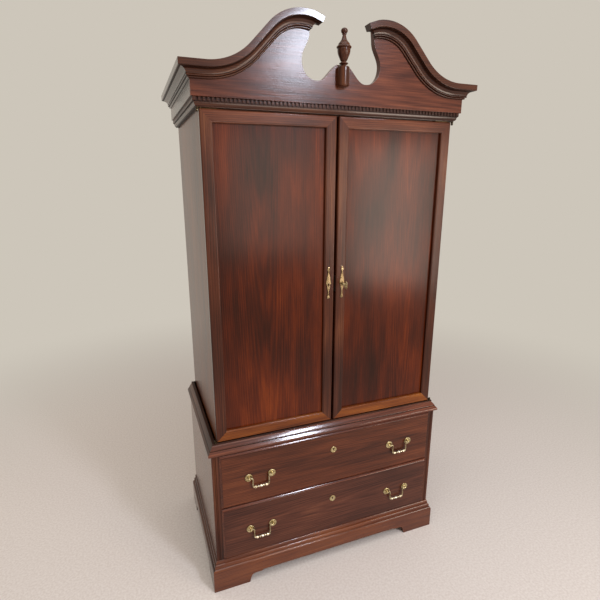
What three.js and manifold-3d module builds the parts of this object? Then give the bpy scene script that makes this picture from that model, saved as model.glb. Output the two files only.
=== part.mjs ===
// A television armoire: a cupboard with two doors over a case of two drawers, under a swan-neck pediment.
// Millimetres, +Z up, +X to the right, front towards -Y. The origin is on the floor under the middle.
import * as THREE from "three";
import { mergeVertices } from "three/addons/utils/BufferGeometryUtils.js";
import Module from "manifold-3d";

const wasm = await Module();
wasm.setup();

// Width and depth of the lower case, how far the upper one steps in from it, and their boards
const lowerWidth = 949;
const lowerDepth = 555;
const sideStep = 25;
const frontStep = 29;
const boardThickness = 19;
const backThickness = 8;
const stileThickness = 20;
const floorThickness = 19;

// Heights of the mouldings, one above the other
const baseHeight = 126;
const waistHeight = 42.5;
const dentilHeight = 26;
const friezeHeight = 44;
const crownHeight = 45;
const archRise = 159;

// Overhangs of the mouldings, beyond what carries them
const baseOverhang = 18;
const waistOverhang = 11;
const friezeSideOverhang = 24;
const friezeFrontOverhang = 41;
const crownOverhang = 33;

// Bracket feet and the apron between them
const apronHeight = 80;
const apronRise = 41;
const footWidth = 140;
const sideFootFront = 110;
const sideFootRear = 100;
const bracketReach = 56;
const caseLap = 38;

// Clearances
const pieceGap = 0.3;
const slideGap = 0.6;
const doorSideGap = 4;
const doorBackGap = 1;
const cutOver = 5;
const weldTolerance = 1e-4;

// Drawers
const drawerHeight = 220;
const drawerGap = 4.5;
const drawerFloorGap = 4;
const drawerTopGap = 5;
const drawerSideReveal = 26.5;
const drawerLip = 8.5;
const drawerProud = 10;
const drawerTongue = 12;
const drawerSideThickness = 12.5;
const drawerSideDrop = 35;
const drawerBackSpace = 45;
const drawerBottomThickness = 6;
const drawerBottomRise = 12;
const drawerGroove = 6;

// Doors
const doorHeight = 1102.4;
const doorThickness = 20;
const doorFrameWidth = 38;
const doorRound = 5;
const panelRecess = 11;
const panelThickness = 7;
const panelTongue = 8;
const panelMould = 3;

// Pivot hinges at the outer corners of the doors
const hingeOut = 5;
const hingeBehindFace = 1;
const hingeLeafThickness = 2.2;
const hingeLeafLength = 60;
const hingeBarrelRadius = 4;
const hingeBarrelLength = 13;

// Crown moulding: fascia, fillet, cove and bead
const crownFascia = 15.5;
const crownFillet = 1.5;
const crownLip = 3.5;
const crownBead = 3.8;

// Swan-neck curve along the top of the crown
const peakOffset = 139;
const peakRadius = 150;
const sweepRadius = 180;
const neckAngle = THREE.MathUtils.degToRad(46.5);
const tipAngle = THREE.MathUtils.degToRad(13);
const pedimentThickness = 22;
const pedimentDrop = 1;

// Cut-outs of the pediment, out from the middle and up from the top of the dentils
const scrollNeck = 111;
const scrollBulge = 136;
const scrollBottom = 85;
const scrollPeak = 20;
const scrollNeckRise = 197;
const scrollBulgeRise = 122;
const scrollBottomRise = 66;
const scrollPeakRise = 116;

// Finial on the middle of the pediment
const finialHeight = 167;
const finialRadius = 23.4;
const finialFootRise = 51;
const finialProud = 9.5;

// Drawer pulls
const pullInset = 149;
const pullRise = 1.5;
const postSpacing = 88.9;
const rosetteRadius = 13;
const rosetteThickness = 3.4;
const postHeadRadius = 4.7;
const postNeckRadius = 3.4;
const bailStandOff = 10;
const bailDrop = 38;
const bailRadius = 2.2;
const bailPinRadius = 2;
const bailPinPast = 1;
const pinClearance = 0.35;

// Keyhole escutcheons of the drawers
const escutcheonRise = 38;
const escutcheonRadius = 12.5;
const escutcheonThickness = 2;
const escutcheonHole = 2.8;

// Door plates, key and lock
const plateHeight = 115;
const plateCentre = 1172.5;
const plateInset = 26.5;
const plateThickness = 2.5;
const plateBall = 4.2;
const keyDrop = 6;
const keyRadius = 2.6;
const keyHoleRadius = 3.2;
const keyReach = 34;
const keyBowHeight = 30;
const keyBowWidth = 19;
const keyBowThickness = 3.2;
const keyCollarRadius = 4.2;
const keyCollarLength = 3;
const lockHeight = 58;
const lockDepth = 29;
const lockThickness = 10;
const boltHeight = 20;
const boltThickness = 5;
const boltThrow = 14;
const strikeSlack = 2;

// Dentils and bed moulding under the frieze
const dentilPitch = 13;
const dentilGap = 6.2;
const dentilCut = 3;
const dentilLength = 10.5;
const dentilSetBack = 5;
const bedLip = 8;
const bedFoot = 16;
const bedEdge = 1.5;

// Shelf in the upper case, and the hole for cables in its back
const shelfHeight = 897;
const cableHoleRadius = 32;
const cableHoleHeight = 1010;

// Steps of round stretches
const turnedSides = 20;
const postSides = 16;
const smallSides = 12;
const tubeSides = 8;
const holeSteps = 6;
const arcSteps = 4;
const sweepSteps = 7;
const peakSteps = 11;

// Places that follow from the sizes above
const lowerHalf = lowerWidth / 2;
const upperHalf = lowerHalf - sideStep;
const upperDepth = lowerDepth - frontStep;
const friezeHalf = upperHalf + friezeSideOverhang;
const friezeFront = upperDepth + friezeFrontOverhang;
const backY = (friezeFront + crownOverhang) / 2;
const front = (depth) => backY - depth;
const caseBottom = baseHeight - caseLap;
const drawerHalf = lowerHalf - drawerSideReveal;
const openingHalf = drawerHalf - drawerLip;
const lowerFaceBottom = baseHeight + drawerFloorGap;
const upperFaceBottom = lowerFaceBottom + drawerHeight + drawerGap;
const lowerCaseTop = upperFaceBottom + drawerHeight + drawerTopGap;
const waistTop = lowerCaseTop + waistHeight;
const doorBottom = waistTop + hingeLeafThickness + slideGap;
const doorTop = doorBottom + doorHeight;
const dentilBottom = doorTop + slideGap + hingeLeafThickness;
const friezeBottom = dentilBottom + dentilHeight;
const crownBottom = friezeBottom + friezeHeight;
const capTop = crownBottom + crownHeight;
const doorBack = upperDepth + doorBackGap;
const doorFace = doorBack + doorThickness;
const drawerFace = lowerDepth + drawerProud;
const keyLine = plateCentre - keyDrop;
const lockMiddle = doorBack + doorThickness / 2;

const woodLook = { color: 0x5a2416, roughness: 0.34, metalness: 0 };
const innerLook = { color: 0x8a5a3c, roughness: 0.6, metalness: 0 };
const brassLook = { color: 0xb9a06a, roughness: 0.28, metalness: 1 };
const steelLook = { color: 0x8d8a84, roughness: 0.4, metalness: 1 };
const wood = () => new THREE.MeshStandardMaterial(woodLook);
const innerWood = () => new THREE.MeshStandardMaterial(innerLook);
const brass = () => new THREE.MeshStandardMaterial(brassLook);
const steel = () => new THREE.MeshStandardMaterial(steelLook);

const group = new THREE.Group();
const sides = [[-1, "left"], [1, "right"]];

// Joins the shared corners of a geometry, so that it is one closed surface
function weld(geometry) {
  const bare = geometry.clone();
  bare.deleteAttribute("normal");
  bare.deleteAttribute("uv");
  const merged = mergeVertices(bare, weldTolerance);
  const corners = merged.index.array;
  const kept = [];
  for (let i = 0; i < corners.length; i += 3) {
    const [a, b, c] = corners.slice(i, i + 3);
    if (a !== b && b !== c && c !== a) kept.push(a, b, c);
  }
  merged.setIndex(kept);
  return merged;
}

function toSolid(geometry) {
  const merged = weld(geometry);
  const vertProperties = new Float32Array(merged.attributes.position.array);
  const triVerts = new Uint32Array(merged.index.array);
  return new wasm.Manifold(new wasm.Mesh({ numProp: 3, vertProperties, triVerts }));
}

function fromSolid(body) {
  const mesh = body.getMesh();
  const geometry = new THREE.BufferGeometry();
  geometry.setAttribute("position", new THREE.BufferAttribute(new Float32Array(mesh.vertProperties), 3));
  geometry.setIndex(Array.from(mesh.triVerts));
  return geometry;
}

function cut(geometry, ...tools) {
  return fromSolid(tools.reduce((body, tool) => body.subtract(toSolid(tool)), toSolid(geometry)));
}

function join(first, ...others) {
  return fromSolid(others.reduce((body, other) => body.add(toSolid(other)), toSolid(first)));
}

function add(name, geometry, material) {
  const shown = weld(geometry).toNonIndexed();
  shown.computeVertexNormals();
  const mesh = new THREE.Mesh(shown, material);
  mesh.name = name;
  group.add(mesh);
}

// A box between two corners
function box(x0, x1, y0, y1, z0, z1) {
  const geometry = new THREE.BoxGeometry(Math.abs(x1 - x0), Math.abs(y1 - y0), Math.abs(z1 - z0));
  return geometry.translate((x0 + x1) / 2, (y0 + y1) / 2, (z0 + z1) / 2);
}

// A closed skin through rings of points, with a cap on each end
function loft(rings) {
  const count = rings[0].length;
  const points = rings.flat();
  const faces = [];
  for (let r = 0; r + 1 < rings.length; r += 1) {
    for (let i = 0; i < count; i += 1) {
      const a = r * count + i;
      const b = r * count + ((i + 1) % count);
      faces.push(a, b, b + count, a, b + count, a + count);
    }
  }
  faces.push(...capFaces(rings[0], 0, true));
  faces.push(...capFaces(rings.at(-1), (rings.length - 1) * count, false));
  let volume = 0;
  for (let i = 0; i < faces.length; i += 3) {
    const [a, b, c] = faces.slice(i, i + 3).map((face) => points[face]);
    volume += a.dot(new THREE.Vector3().crossVectors(b, c));
  }
  if (volume < 0) faces.reverse();
  const geometry = new THREE.BufferGeometry().setFromPoints(points);
  geometry.setIndex(faces);
  return geometry;
}

// Triangles over one end ring, seen along the axis that it faces most
function capFaces(ring, firstIndex, reversed) {
  const normal = new THREE.Vector3();
  ring.forEach((point, i) => normal.add(new THREE.Vector3().crossVectors(point, ring[(i + 1) % ring.length])));
  const sizes = normal.toArray().map(Math.abs);
  const facing = sizes.indexOf(Math.max(...sizes));
  const flatten = [(p) => [p.y, p.z], (p) => [p.x, p.z], (p) => [p.x, p.y]][facing];
  const flat = ring.map((point) => new THREE.Vector2(...flatten(point)));
  const turn = Math.sign(THREE.ShapeUtils.area(flat));
  const faces = [];
  for (const [a, b, c] of THREE.ShapeUtils.triangulateShape(flat, [])) {
    const along = Math.sign(THREE.ShapeUtils.area([flat[a], flat[b], flat[c]])) === turn;
    const order = along === reversed ? [c, b, a] : [a, b, c];
    faces.push(...order.map((i) => i + firstIndex));
  }
  return faces;
}

// Points of an elliptical arc, from one angle to another
function arc(cx, cy, rx, ry, from, to, steps = arcSteps) {
  const points = [];
  for (let i = 0; i <= steps; i += 1) {
    const angle = from + ((to - from) * i) / steps;
    points.push([cx + rx * Math.cos(angle), cy + ry * Math.sin(angle)]);
  }
  return points;
}

function shapeOf(points) {
  return new THREE.Shape(points.map(([a, b]) => new THREE.Vector2(a, b)));
}

// An outline in X and Z, thick from one depth to another
function uprightBoard(shape, backDepth, frontDepth, curveSegments = smallSides) {
  const options = { depth: frontDepth - backDepth, bevelEnabled: false, curveSegments };
  return new THREE.ExtrudeGeometry(shape, options).rotateX(Math.PI / 2).translate(0, front(backDepth), 0);
}

// An outline in X and Y, thick from one height to another
function levelBoard(points, z0, z1) {
  const options = { depth: z1 - z0, bevelEnabled: false };
  return new THREE.ExtrudeGeometry(shapeOf(points), options).translate(0, 0, z0);
}

// A rod along one axis, centred on a place
function rod(axis, radius, length, x, y, z) {
  const geometry = new THREE.CylinderGeometry(radius, radius, length, smallSides);
  if (axis === "x") geometry.rotateZ(Math.PI / 2);
  if (axis === "z") geometry.rotateX(Math.PI / 2);
  return geometry.translate(x, y, z);
}

// A moulding profile is a list of overhangs and heights. An end of a run turns each pair into a place
const squareEnd = (side, half, y) => ([p, z]) => new THREE.Vector3(side * (half + p), y, z);
const cornerEnd = (side, half, depth) => ([p, z]) => new THREE.Vector3(side * (half + p), front(depth + p), z);
const run = (profile, ...ends) => loft(ends.map((end) => profile.map(end)));

// A board that runs between the sides of the lower case, and comes forward between the face stiles
function betweenSides() {
  const half = lowerHalf - boardThickness;
  const shoulder = front(lowerDepth - stileThickness);
  return [
    [-half, front(backThickness)],
    [-half, shoulder],
    [-openingHalf, shoulder],
    [-openingHalf, front(lowerDepth)],
    [openingHalf, front(lowerDepth)],
    [openingHalf, shoulder],
    [half, shoulder],
    [half, front(backThickness)],
  ];
}

function lowerCase() {
  const inner = lowerHalf - boardThickness;
  const shoulder = front(lowerDepth - stileThickness);
  for (const [side, word] of sides) {
    const outer = side * lowerHalf;
    add(`lower_side_${word}`, box(side * inner, outer, backY, shoulder, caseBottom, lowerCaseTop), wood());
    const stile = box(side * openingHalf, outer, shoulder, front(lowerDepth), caseBottom, lowerCaseTop);
    add(`face_stile_${word}`, stile, wood());
  }
  add("lower_back", box(-inner, inner, backY, front(backThickness), caseBottom, lowerCaseTop), innerWood());
  const floor = lowerFaceBottom + drawerLip;
  const dividerBottom = lowerFaceBottom + drawerHeight - drawerLip;
  add("lower_bottom", levelBoard(betweenSides(), floor - floorThickness, floor), wood());
  add("drawer_divider", levelBoard(betweenSides(), dividerBottom, upperFaceBottom + drawerLip), wood());
}

// The waist moulding slopes in from its lip to the foot of the upper case, over a rail above the drawers
function waist() {
  const slope = waistOverhang + lowerHalf - upperHalf;
  const outUpShares = [
    [0.7, 0], [0.9, 0.09], [0.985, 0.16], [1, 0.24], [0.985, 0.34], [0.92, 0.43], [0.83, 0.48], [0.79, 0.52],
    [0.69, 0.54], [0.66, 0.62], [0.57, 0.74], [0.42, 0.82], [0.33, 0.84], [0.31, 0.9], [0.27, 0.97], [0.25, 1],
  ];
  const rings = outUpShares.map(([out, up]) => {
    const p = waistOverhang - slope * (1 - out);
    const z = lowerCaseTop + waistHeight * up;
    const [half, y] = [lowerHalf + p, front(lowerDepth + p)];
    return [[-half, backY], [-half, y], [half, y], [half, backY]].map(([a, b]) => new THREE.Vector3(a, b, z));
  });
  const inner = lowerHalf - boardThickness;
  const shoulder = front(lowerDepth - stileThickness);
  const recessTop = waistTop - boardThickness;
  const recess = box(-inner, inner, backY + cutOver, shoulder, lowerCaseTop - cutOver, recessTop);
  const railBottom = upperFaceBottom + drawerHeight - drawerLip;
  const rail = box(-openingHalf, openingHalf, shoulder, front(lowerDepth), railBottom, recessTop);
  add("waist_top", join(cut(loft(rings), recess), rail), wood());
}

// Three beads step out to a flat apron, as overhang and height
function baseProfile() {
  const beadCount = 3;
  const grooveShare = 1 / 3;
  const stepOut = baseOverhang / beadCount;
  const stepDown = (baseHeight - apronHeight) / beadCount;
  const groove = stepOut * grooveShare;
  const points = [];
  for (let i = 0; i < beadCount; i += 1) {
    const last = i === beadCount - 1;
    const low = baseHeight - stepDown * (i + 1);
    const foot = last ? low : low + groove * 2;
    const reach = last ? stepOut : stepOut - groove / 2;
    const top = low + stepDown - foot;
    points.push(...arc(stepOut * i, foot, reach, top, Math.PI / 2, 0));
    if (!last) points.push([stepOut * i + groove, low + groove]);
  }
  return [...points, [baseOverhang, 0], [0, 0]];
}

// What is cut out between two bracket feet: a curve up each bracket, a flat, and a small step to the apron
function apronCut(from, to) {
  const alongUpShares = [
    [0, 0], [0.04, 0.28], [0.09, 0.52], [0.17, 0.72], [0.25, 0.83], [0.34, 0.88], [0.87, 0.88], [1, 1],
  ];
  const bracket = (end, way) => [
    [end, -cutOver],
    ...alongUpShares.map(([along, up]) => [end + way * bracketReach * along, apronRise * up]),
  ];
  return shapeOf([...bracket(from, 1), ...bracket(to, -1).reverse()]);
}

function base() {
  const profile = baseProfile();
  const outer = lowerDepth + baseOverhang;
  const footInner = lowerHalf + baseOverhang - footWidth;
  const frontTool = uprightBoard(apronCut(-footInner, footInner), lowerDepth - cutOver, outer + cutOver);
  const frontEnds = sides.map(([side]) => cornerEnd(side, lowerHalf, lowerDepth));
  add("base_front", cut(run(profile, ...frontEnds), frontTool), wood());
  const sideCut = apronCut(front(outer) + sideFootFront, backY - sideFootRear);
  const options = { depth: baseOverhang + 2 * cutOver, bevelEnabled: false };
  for (const [side, word] of sides) {
    const tool = new THREE.ExtrudeGeometry(sideCut, options).rotateX(Math.PI / 2).rotateZ(Math.PI / 2);
    tool.translate(side > 0 ? lowerHalf - cutOver : -lowerHalf - baseOverhang - cutOver, 0, 0);
    const ends = [cornerEnd(side, lowerHalf, lowerDepth), squareEnd(side, lowerHalf, backY)];
    add(`base_${word}`, cut(run(profile, ...ends), tool), wood());
  }
  const half = lowerHalf - pieceGap;
  add("base_rear", box(-half, half, backY, front(boardThickness), apronRise, caseBottom), innerWood());
}

// The front of a drawer: a tongue that fits the opening, and a lipped face with a rounded edge
function drawerFront(name, bottom) {
  const seat = lowerDepth + pieceGap;
  const tongueInset = drawerLip + slideGap;
  const insetDepthShares = [[0, 0.36], [0.1, 0.64], [0.32, 0.86], [0.7, 1]];
  const rows = [
    [tongueInset, lowerDepth - drawerTongue],
    [tongueInset, seat],
    [0, seat],
    ...insetDepthShares.map(([inset, out]) => [drawerProud * inset, lowerDepth + drawerProud * out]),
  ];
  const rings = rows.map(([inset, depth]) => {
    const [half, low, high] = [drawerHalf - inset, bottom + inset, bottom + drawerHeight - inset];
    const corners = [[-half, low], [half, low], [half, high], [-half, high]];
    return corners.map(([x, z]) => new THREE.Vector3(x, front(depth), z));
  });
  add(name, loft(rings), wood());
}

// The sides and back of a drawer, grooved for the bottom panel that slides in from the front
function drawerBox(name, faceBottom) {
  const wall = drawerSideThickness;
  const half = openingHalf - slideGap;
  const inHalf = half - wall;
  const frontY = front(lowerDepth - drawerTongue);
  const outline = [
    [-half, frontY],
    [-half, front(drawerBackSpace)],
    [half, front(drawerBackSpace)],
    [half, frontY],
    [inHalf, frontY],
    [inHalf, front(drawerBackSpace + wall)],
    [-inHalf, front(drawerBackSpace + wall)],
    [-inHalf, frontY],
  ];
  const bottom = faceBottom + drawerLip + pieceGap;
  const grooveHalf = inHalf + drawerGroove;
  const grooveBack = front(drawerBackSpace + wall - drawerGroove);
  const grooveBottom = bottom + drawerBottomRise;
  const panelBottom = grooveBottom + pieceGap;
  const panelTop = panelBottom + drawerBottomThickness;
  const groove = box(-grooveHalf, grooveHalf, grooveBack, frontY - cutOver, grooveBottom, panelTop + pieceGap);
  const wallTop = bottom + drawerHeight - drawerSideDrop;
  add(`${name}_box`, cut(levelBoard(outline, bottom, wallTop), groove), innerWood());
  const panelHalf = grooveHalf - pieceGap;
  const panel = box(-panelHalf, panelHalf, grooveBack - pieceGap, frontY + pieceGap, panelBottom, panelTop);
  add(`${name}_bottom`, panel, innerWood());
}

// A post of a pull, turned on an axis out of the drawer front: a rosette, a neck and a ball
function post(name, side, x, z) {
  const head = postHeadRadius;
  const rosetteShares = [[1, 0.4], [0.94, 0.85], [0.84, 1], [0.72, 0.9], [0.58, 0.72], [0.42, 0.8]];
  const ball = arc(0, bailStandOff, head, head, -Math.PI / 4, Math.PI / 2, arcSteps);
  const profile = [
    [0, pieceGap],
    [rosetteRadius, pieceGap],
    ...rosetteShares.map(([r, out]) => [rosetteRadius * r, rosetteThickness * out]),
    [postNeckRadius, rosetteThickness],
    ...ball.slice(0, -1),
    [0, bailStandOff + head],
  ];
  const points = profile.map(([r, out]) => new THREE.Vector2(r, out));
  const body = new THREE.LatheGeometry(points, postSides).rotateZ(Math.PI).translate(x, front(drawerFace), z);
  const holeEnd = bailPinPast + pieceGap;
  const length = head + cutOver + holeEnd;
  const holeX = x + side * (holeEnd - length / 2);
  const hole = rod("x", bailPinRadius + pinClearance, length, holeX, front(drawerFace + bailStandOff), z);
  add(name, cut(body, hole), brass());
}

// The bail: pins that turn in the posts, arms, drooping legs and a turned bar, as one tube that swells
function bail(name, x, z) {
  const half = postSpacing / 2;
  const y = front(drawerFace + bailStandOff);
  const armStart = half - postHeadRadius - slideGap;
  const pathShares = [
    [0.78, 0, 1.05], [0.73, -0.03, 1.15], [0.7, -0.1, 1.1], [0.69, -0.2, 1], [0.705, -0.38, 0.9],
    [0.71, -0.58, 0.9], [0.69, -0.78, 1], [0.64, -0.93, 1.15], [0.56, -1, 1.25], [0.5, -1, 1.3],
    [0.46, -1, 1.85], [0.41, -1, 2], [0.36, -1, 1.85], [0.32, -1, 1.2], [0.27, -1, 1.45], [0.22, -1, 1],
    [0.07, -1, 1.05], [0.045, -1, 1.7],
  ];
  const leftHalf = [
    [-half - bailPinPast, 0, bailPinRadius],
    [-armStart, 0, bailPinRadius],
    ...pathShares.map(([along, down, swell]) => [-half * along, bailDrop * down, bailRadius * swell]),
  ];
  const path = [...leftHalf, ...leftHalf.map(([a, b, r]) => [-a, b, r]).reverse()];
  const rings = path.map(([a, b, r], i) => {
    const [a0, b0] = path[Math.max(i - 1, 0)];
    const [a1, b1] = path[Math.min(i + 1, path.length - 1)];
    const along = new THREE.Vector2(a1 - a0, b1 - b0).normalize();
    return Array.from({ length: tubeSides }, (_, step) => {
      const turn = (2 * Math.PI * step) / tubeSides;
      const up = r * Math.cos(turn);
      return new THREE.Vector3(x + a - along.y * up, y + r * Math.sin(turn), z + b + along.x * up);
    });
  });
  add(name, loft(rings), brass());
}

// A keyhole: a round head over a slot
function keyhole(x, z, radius) {
  const slotHalfShare = 0.5;
  const slotDropShare = 2.4;
  const opening = Math.asin(slotHalfShare);
  const hole = new THREE.Path();
  hole.absarc(x, z, radius, opening - Math.PI / 2, 1.5 * Math.PI - opening, false);
  hole.lineTo(x - radius * slotHalfShare, z - radius * slotDropShare);
  hole.lineTo(x + radius * slotHalfShare, z - radius * slotDropShare);
  return hole;
}

function escutcheon(name, z) {
  const shape = new THREE.Shape();
  shape.absarc(0, z, escutcheonRadius, 0, 2 * Math.PI, false);
  shape.holes.push(keyhole(0, z + escutcheonHole, escutcheonHole));
  const seat = drawerFace + pieceGap;
  add(name, uprightBoard(shape, seat, seat + escutcheonThickness), brass());
}

function drawers() {
  for (const [level, bottom] of [["upper", upperFaceBottom], ["lower", lowerFaceBottom]]) {
    const pullLine = bottom + drawerHeight / 2 + pullRise;
    drawerFront(`drawer_${level}_front`, bottom);
    drawerBox(`drawer_${level}`, bottom);
    for (const [side, word] of sides) {
      const x = side * (drawerHalf - pullInset);
      for (const [end, endWord] of sides) {
        post(`pull_${level}_${word}_post_${endWord}`, end, x + (end * postSpacing) / 2, pullLine);
      }
      bail(`pull_${level}_${word}_bail`, x, pullLine);
    }
    escutcheon(`drawer_${level}_escutcheon`, pullLine + escutcheonRise);
  }
}

function upperCase() {
  const inner = upperHalf - boardThickness;
  const [inBack, inFront] = [front(backThickness), front(upperDepth)];
  for (const [side, word] of sides) {
    const board = box(side * inner, side * upperHalf, backY, inFront, waistTop, crownBottom);
    add(`upper_side_${word}`, board, wood());
  }
  const lidTop = doorTop + boardThickness / 2;
  const level = (name, bottom, y) => {
    add(name, box(-inner, inner, inBack, y, bottom, bottom + boardThickness), wood());
  };
  level("upper_bottom", waistTop, inFront);
  level("upper_top", lidTop - boardThickness, inFront);
  level("tv_shelf", shelfHeight, inFront + boardThickness);
  const back = shapeOf([[-inner, waistTop], [inner, waistTop], [inner, lidTop], [-inner, lidTop]]);
  const hole = new THREE.Path();
  hole.absarc(0, cableHoleHeight, cableHoleRadius, 0, 2 * Math.PI, true);
  back.holes.push(hole);
  add("upper_back", uprightBoard(back, 0, backThickness), innerWood());
}

// One door: a frame with rounded outer edges and a moulded inner edge, around a flat recessed panel
function door(side, word) {
  const rectangle = (inset, depth) => {
    const [a, b] = [side * (doorSideGap + inset), side * (upperHalf - inset)];
    const [low, high] = [doorBottom + inset, doorTop - inset];
    return [[a, low], [b, low], [b, high], [a, high]].map(([x, z]) => new THREE.Vector3(x, front(depth), z));
  };
  const edge = arc(doorRound, doorFace - doorRound, doorRound, doorRound, Math.PI, Math.PI / 2);
  const blank = loft([rectangle(0, doorBack), ...edge.map(([inset, depth]) => rectangle(inset, depth))]);
  const opening = loft([
    rectangle(doorFrameWidth, doorBack - cutOver),
    rectangle(doorFrameWidth, doorFace - panelMould),
    rectangle(doorFrameWidth - panelMould, doorFace),
    rectangle(doorFrameWidth - panelMould, doorFace + cutOver),
  ]);
  const rebateInset = doorFrameWidth - panelTongue;
  const panelFront = doorFace - panelRecess;
  const rebate = loft([rectangle(rebateInset, doorBack - cutOver), rectangle(rebateInset, panelFront)]);
  const lockTools = side < 0 ? strikeCuts() : lockCuts();
  add(`door_${word}_frame`, cut(blank, opening, rebate, ...lockTools), wood());
  const panelInset = rebateInset + pieceGap;
  const panelFace = panelFront - pieceGap;
  const panel = loft([rectangle(panelInset, panelFace - panelThickness), rectangle(panelInset, panelFace)]);
  add(`door_${word}_panel`, panel, wood());
}

// A box inside the door's thickness, centred on the height of the keyhole
function lockBox(x0, x1, height, thickness) {
  const [y0, y1] = [front(lockMiddle - thickness / 2), front(lockMiddle + thickness / 2)];
  return box(x0, x1, y0, y1, keyLine - height / 2, keyLine + height / 2);
}

// The hole that the bolt goes into, in the edge of the left door
function strikeCuts() {
  const reach = boltThrow - doorSideGap + strikeSlack;
  return [lockBox(-reach, cutOver, boltHeight + strikeSlack, boltThickness + strikeSlack)];
}

// The mortise and the way for the key, in the right door
function lockCuts() {
  const slack = 2 * pieceGap;
  const end = doorSideGap + lockDepth + pieceGap;
  const way = rod("y", keyHoleRadius, doorThickness, plateInset, front(doorFace), keyLine);
  return [lockBox(-cutOver, end, lockHeight + slack, lockThickness + slack), way];
}

// A brass plate: an upright baluster outline under a small ball, with its keyhole
function doorPlate(side, word) {
  const half = plateHeight / 2;
  const x = side * plateInset;
  const outUpShares = [
    [0.06, 0.86], [0.08, 0.8], [0.045, 0.75], [0.045, 0.6], [0.08, 0.42], [0.115, 0.34], [0.11, 0.26],
    [0.16, 0.06], [0.16, -0.04], [0.105, -0.15], [0.085, -0.22], [0.1, -0.28], [0.09, -0.36],
    [0.045, -0.48], [0.035, -0.62], [0.05, -0.76], [0.095, -0.88], [0.095, -0.94], [0.06, -1],
  ];
  const edge = (way) => outUpShares.map(([out, up]) => [x + way * out * half, plateCentre + up * half]);
  const ballZ = plateCentre + half - plateBall;
  const ball = arc(x, ballZ, plateBall, plateBall, 1.25 * Math.PI, -Math.PI / 4, postSides / 2);
  const shape = shapeOf([...ball, ...edge(1), ...edge(-1).reverse()]);
  shape.holes.push(keyhole(x, keyLine, keyHoleRadius));
  const seat = doorFace + pieceGap;
  add(`door_${word}_plate`, uprightBoard(shape, seat, seat + plateThickness, holeSteps), brass());
}

// The lock case in the right door, and the bolt that slides out of it
function lock() {
  const tail = plateInset - keyRadius - slideGap;
  const slack = 2 * pieceGap;
  const body = lockBox(doorSideGap, doorSideGap + lockDepth, lockHeight, lockThickness);
  const channel = lockBox(-cutOver, tail + pieceGap, boltHeight + slack, boltThickness + slack);
  const way = rod("y", keyHoleRadius, lockThickness + cutOver, plateInset, front(lockMiddle), keyLine);
  add("door_lock", cut(body, channel, way), steel());
  add("lock_bolt", lockBox(doorSideGap, tail, boltHeight, boltThickness), steel());
}

// The key: a shank through the plate, a collar, and an oval bow with two holes
function key() {
  const tip = lockMiddle - boltThickness / 2;
  const bowCentre = doorFace + keyReach;
  const shankEnd = bowCentre - keyBowWidth / 2 + keyBowThickness / 2;
  const length = shankEnd - tip;
  const collarY = front(shankEnd - keyCollarLength);
  const shank = rod("y", keyRadius, length, plateInset, front(tip + length / 2), keyLine);
  const collar = rod("y", keyCollarRadius, keyCollarLength, plateInset, collarY, keyLine);
  const holeUpShare = 0.22;
  const holeWideShare = 0.24;
  const holeHighShare = 0.12;
  const bow = new THREE.Shape();
  bow.absellipse(0, 0, keyBowWidth / 2, keyBowHeight / 2, 0, 2 * Math.PI, false);
  for (const up of [-holeUpShare, holeUpShare]) {
    const hole = new THREE.Path();
    const [wide, high] = [keyBowWidth * holeWideShare, keyBowHeight * holeHighShare];
    hole.absellipse(0, keyBowHeight * up, wide, high, 0, 2 * Math.PI, true);
    bow.holes.push(hole);
  }
  const options = { depth: keyBowThickness, bevelEnabled: false, curveSegments: holeSteps };
  const bowSolid = new THREE.ExtrudeGeometry(bow, options).translate(0, 0, -keyBowThickness / 2);
  bowSolid.rotateX(Math.PI / 2).rotateZ(Math.PI / 2).translate(plateInset, front(bowCentre), keyLine);
  add("door_key", join(shank, collar, bowSolid), brass());
}

// Pivot hinges: a leaf on the case above or below each door, and a barrel beside the door's outer corner
function hinges() {
  const pivotDepth = doorFace - hingeBehindFace;
  for (const [side, word] of sides) {
    const pivotX = side * (upperHalf + hingeOut);
    for (const [way, end] of [[1, "top"], [-1, "bottom"]]) {
      const seat = way > 0 ? dentilBottom : waistTop;
      const leafZ = seat - way * hingeLeafThickness;
      const inner = side * (upperHalf - hingeLeafLength);
      const leaf = box(inner, pivotX, front(upperDepth), front(pivotDepth), leafZ, seat);
      const middle = seat - (way * hingeBarrelLength) / 2;
      const barrel = rod("z", hingeBarrelRadius, hingeBarrelLength, pivotX, front(pivotDepth), middle);
      add(`hinge_${word}_${end}`, join(leaf, barrel), brass());
    }
  }
}

// The dentils and the bed moulding under the frieze, round the front and both sides
function dentilBand() {
  const lipTop = friezeBottom - dentilLength - bedEdge;
  const bedTop = lipTop - bedEdge;
  const bedRise = bedTop - dentilBottom - bedEdge;
  const bedRun = bedFoot - bedLip - bedEdge;
  const outer = [
    [-dentilSetBack, friezeBottom],
    [-dentilSetBack, lipTop],
    [-bedLip, lipTop],
    [-bedLip, bedTop],
    ...arc(-bedFoot, bedTop, bedRun, bedRise, 0, -Math.PI / 2),
    [-bedFoot, dentilBottom],
  ];
  const rings = [[-1, backY], [-1, null], [1, null], [1, backY]].map(([side, y]) => {
    const place = (half, depth, z) => new THREE.Vector3(side * half, y ?? front(depth), z);
    const back = [dentilBottom, friezeBottom].map((z) => place(upperHalf, upperDepth, z));
    return [...outer.map(([p, z]) => place(friezeHalf + p, friezeFront + p, z)), ...back];
  });
  const pairs = Math.floor((friezeHalf - dentilSetBack - dentilGap) / dentilPitch);
  const [y0, y1] = [front(friezeFront - dentilSetBack - dentilCut), front(friezeFront)];
  const bottom = friezeBottom - dentilLength;
  const notches = [];
  for (let i = -pairs; i <= pairs; i += 1) {
    const x = i * dentilPitch;
    notches.push(box(x - dentilGap / 2, x + dentilGap / 2, y0, y1, bottom, friezeBottom + cutOver));
  }
  add("dentil_band", cut(loft(rings), ...notches), wood());
}

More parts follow.
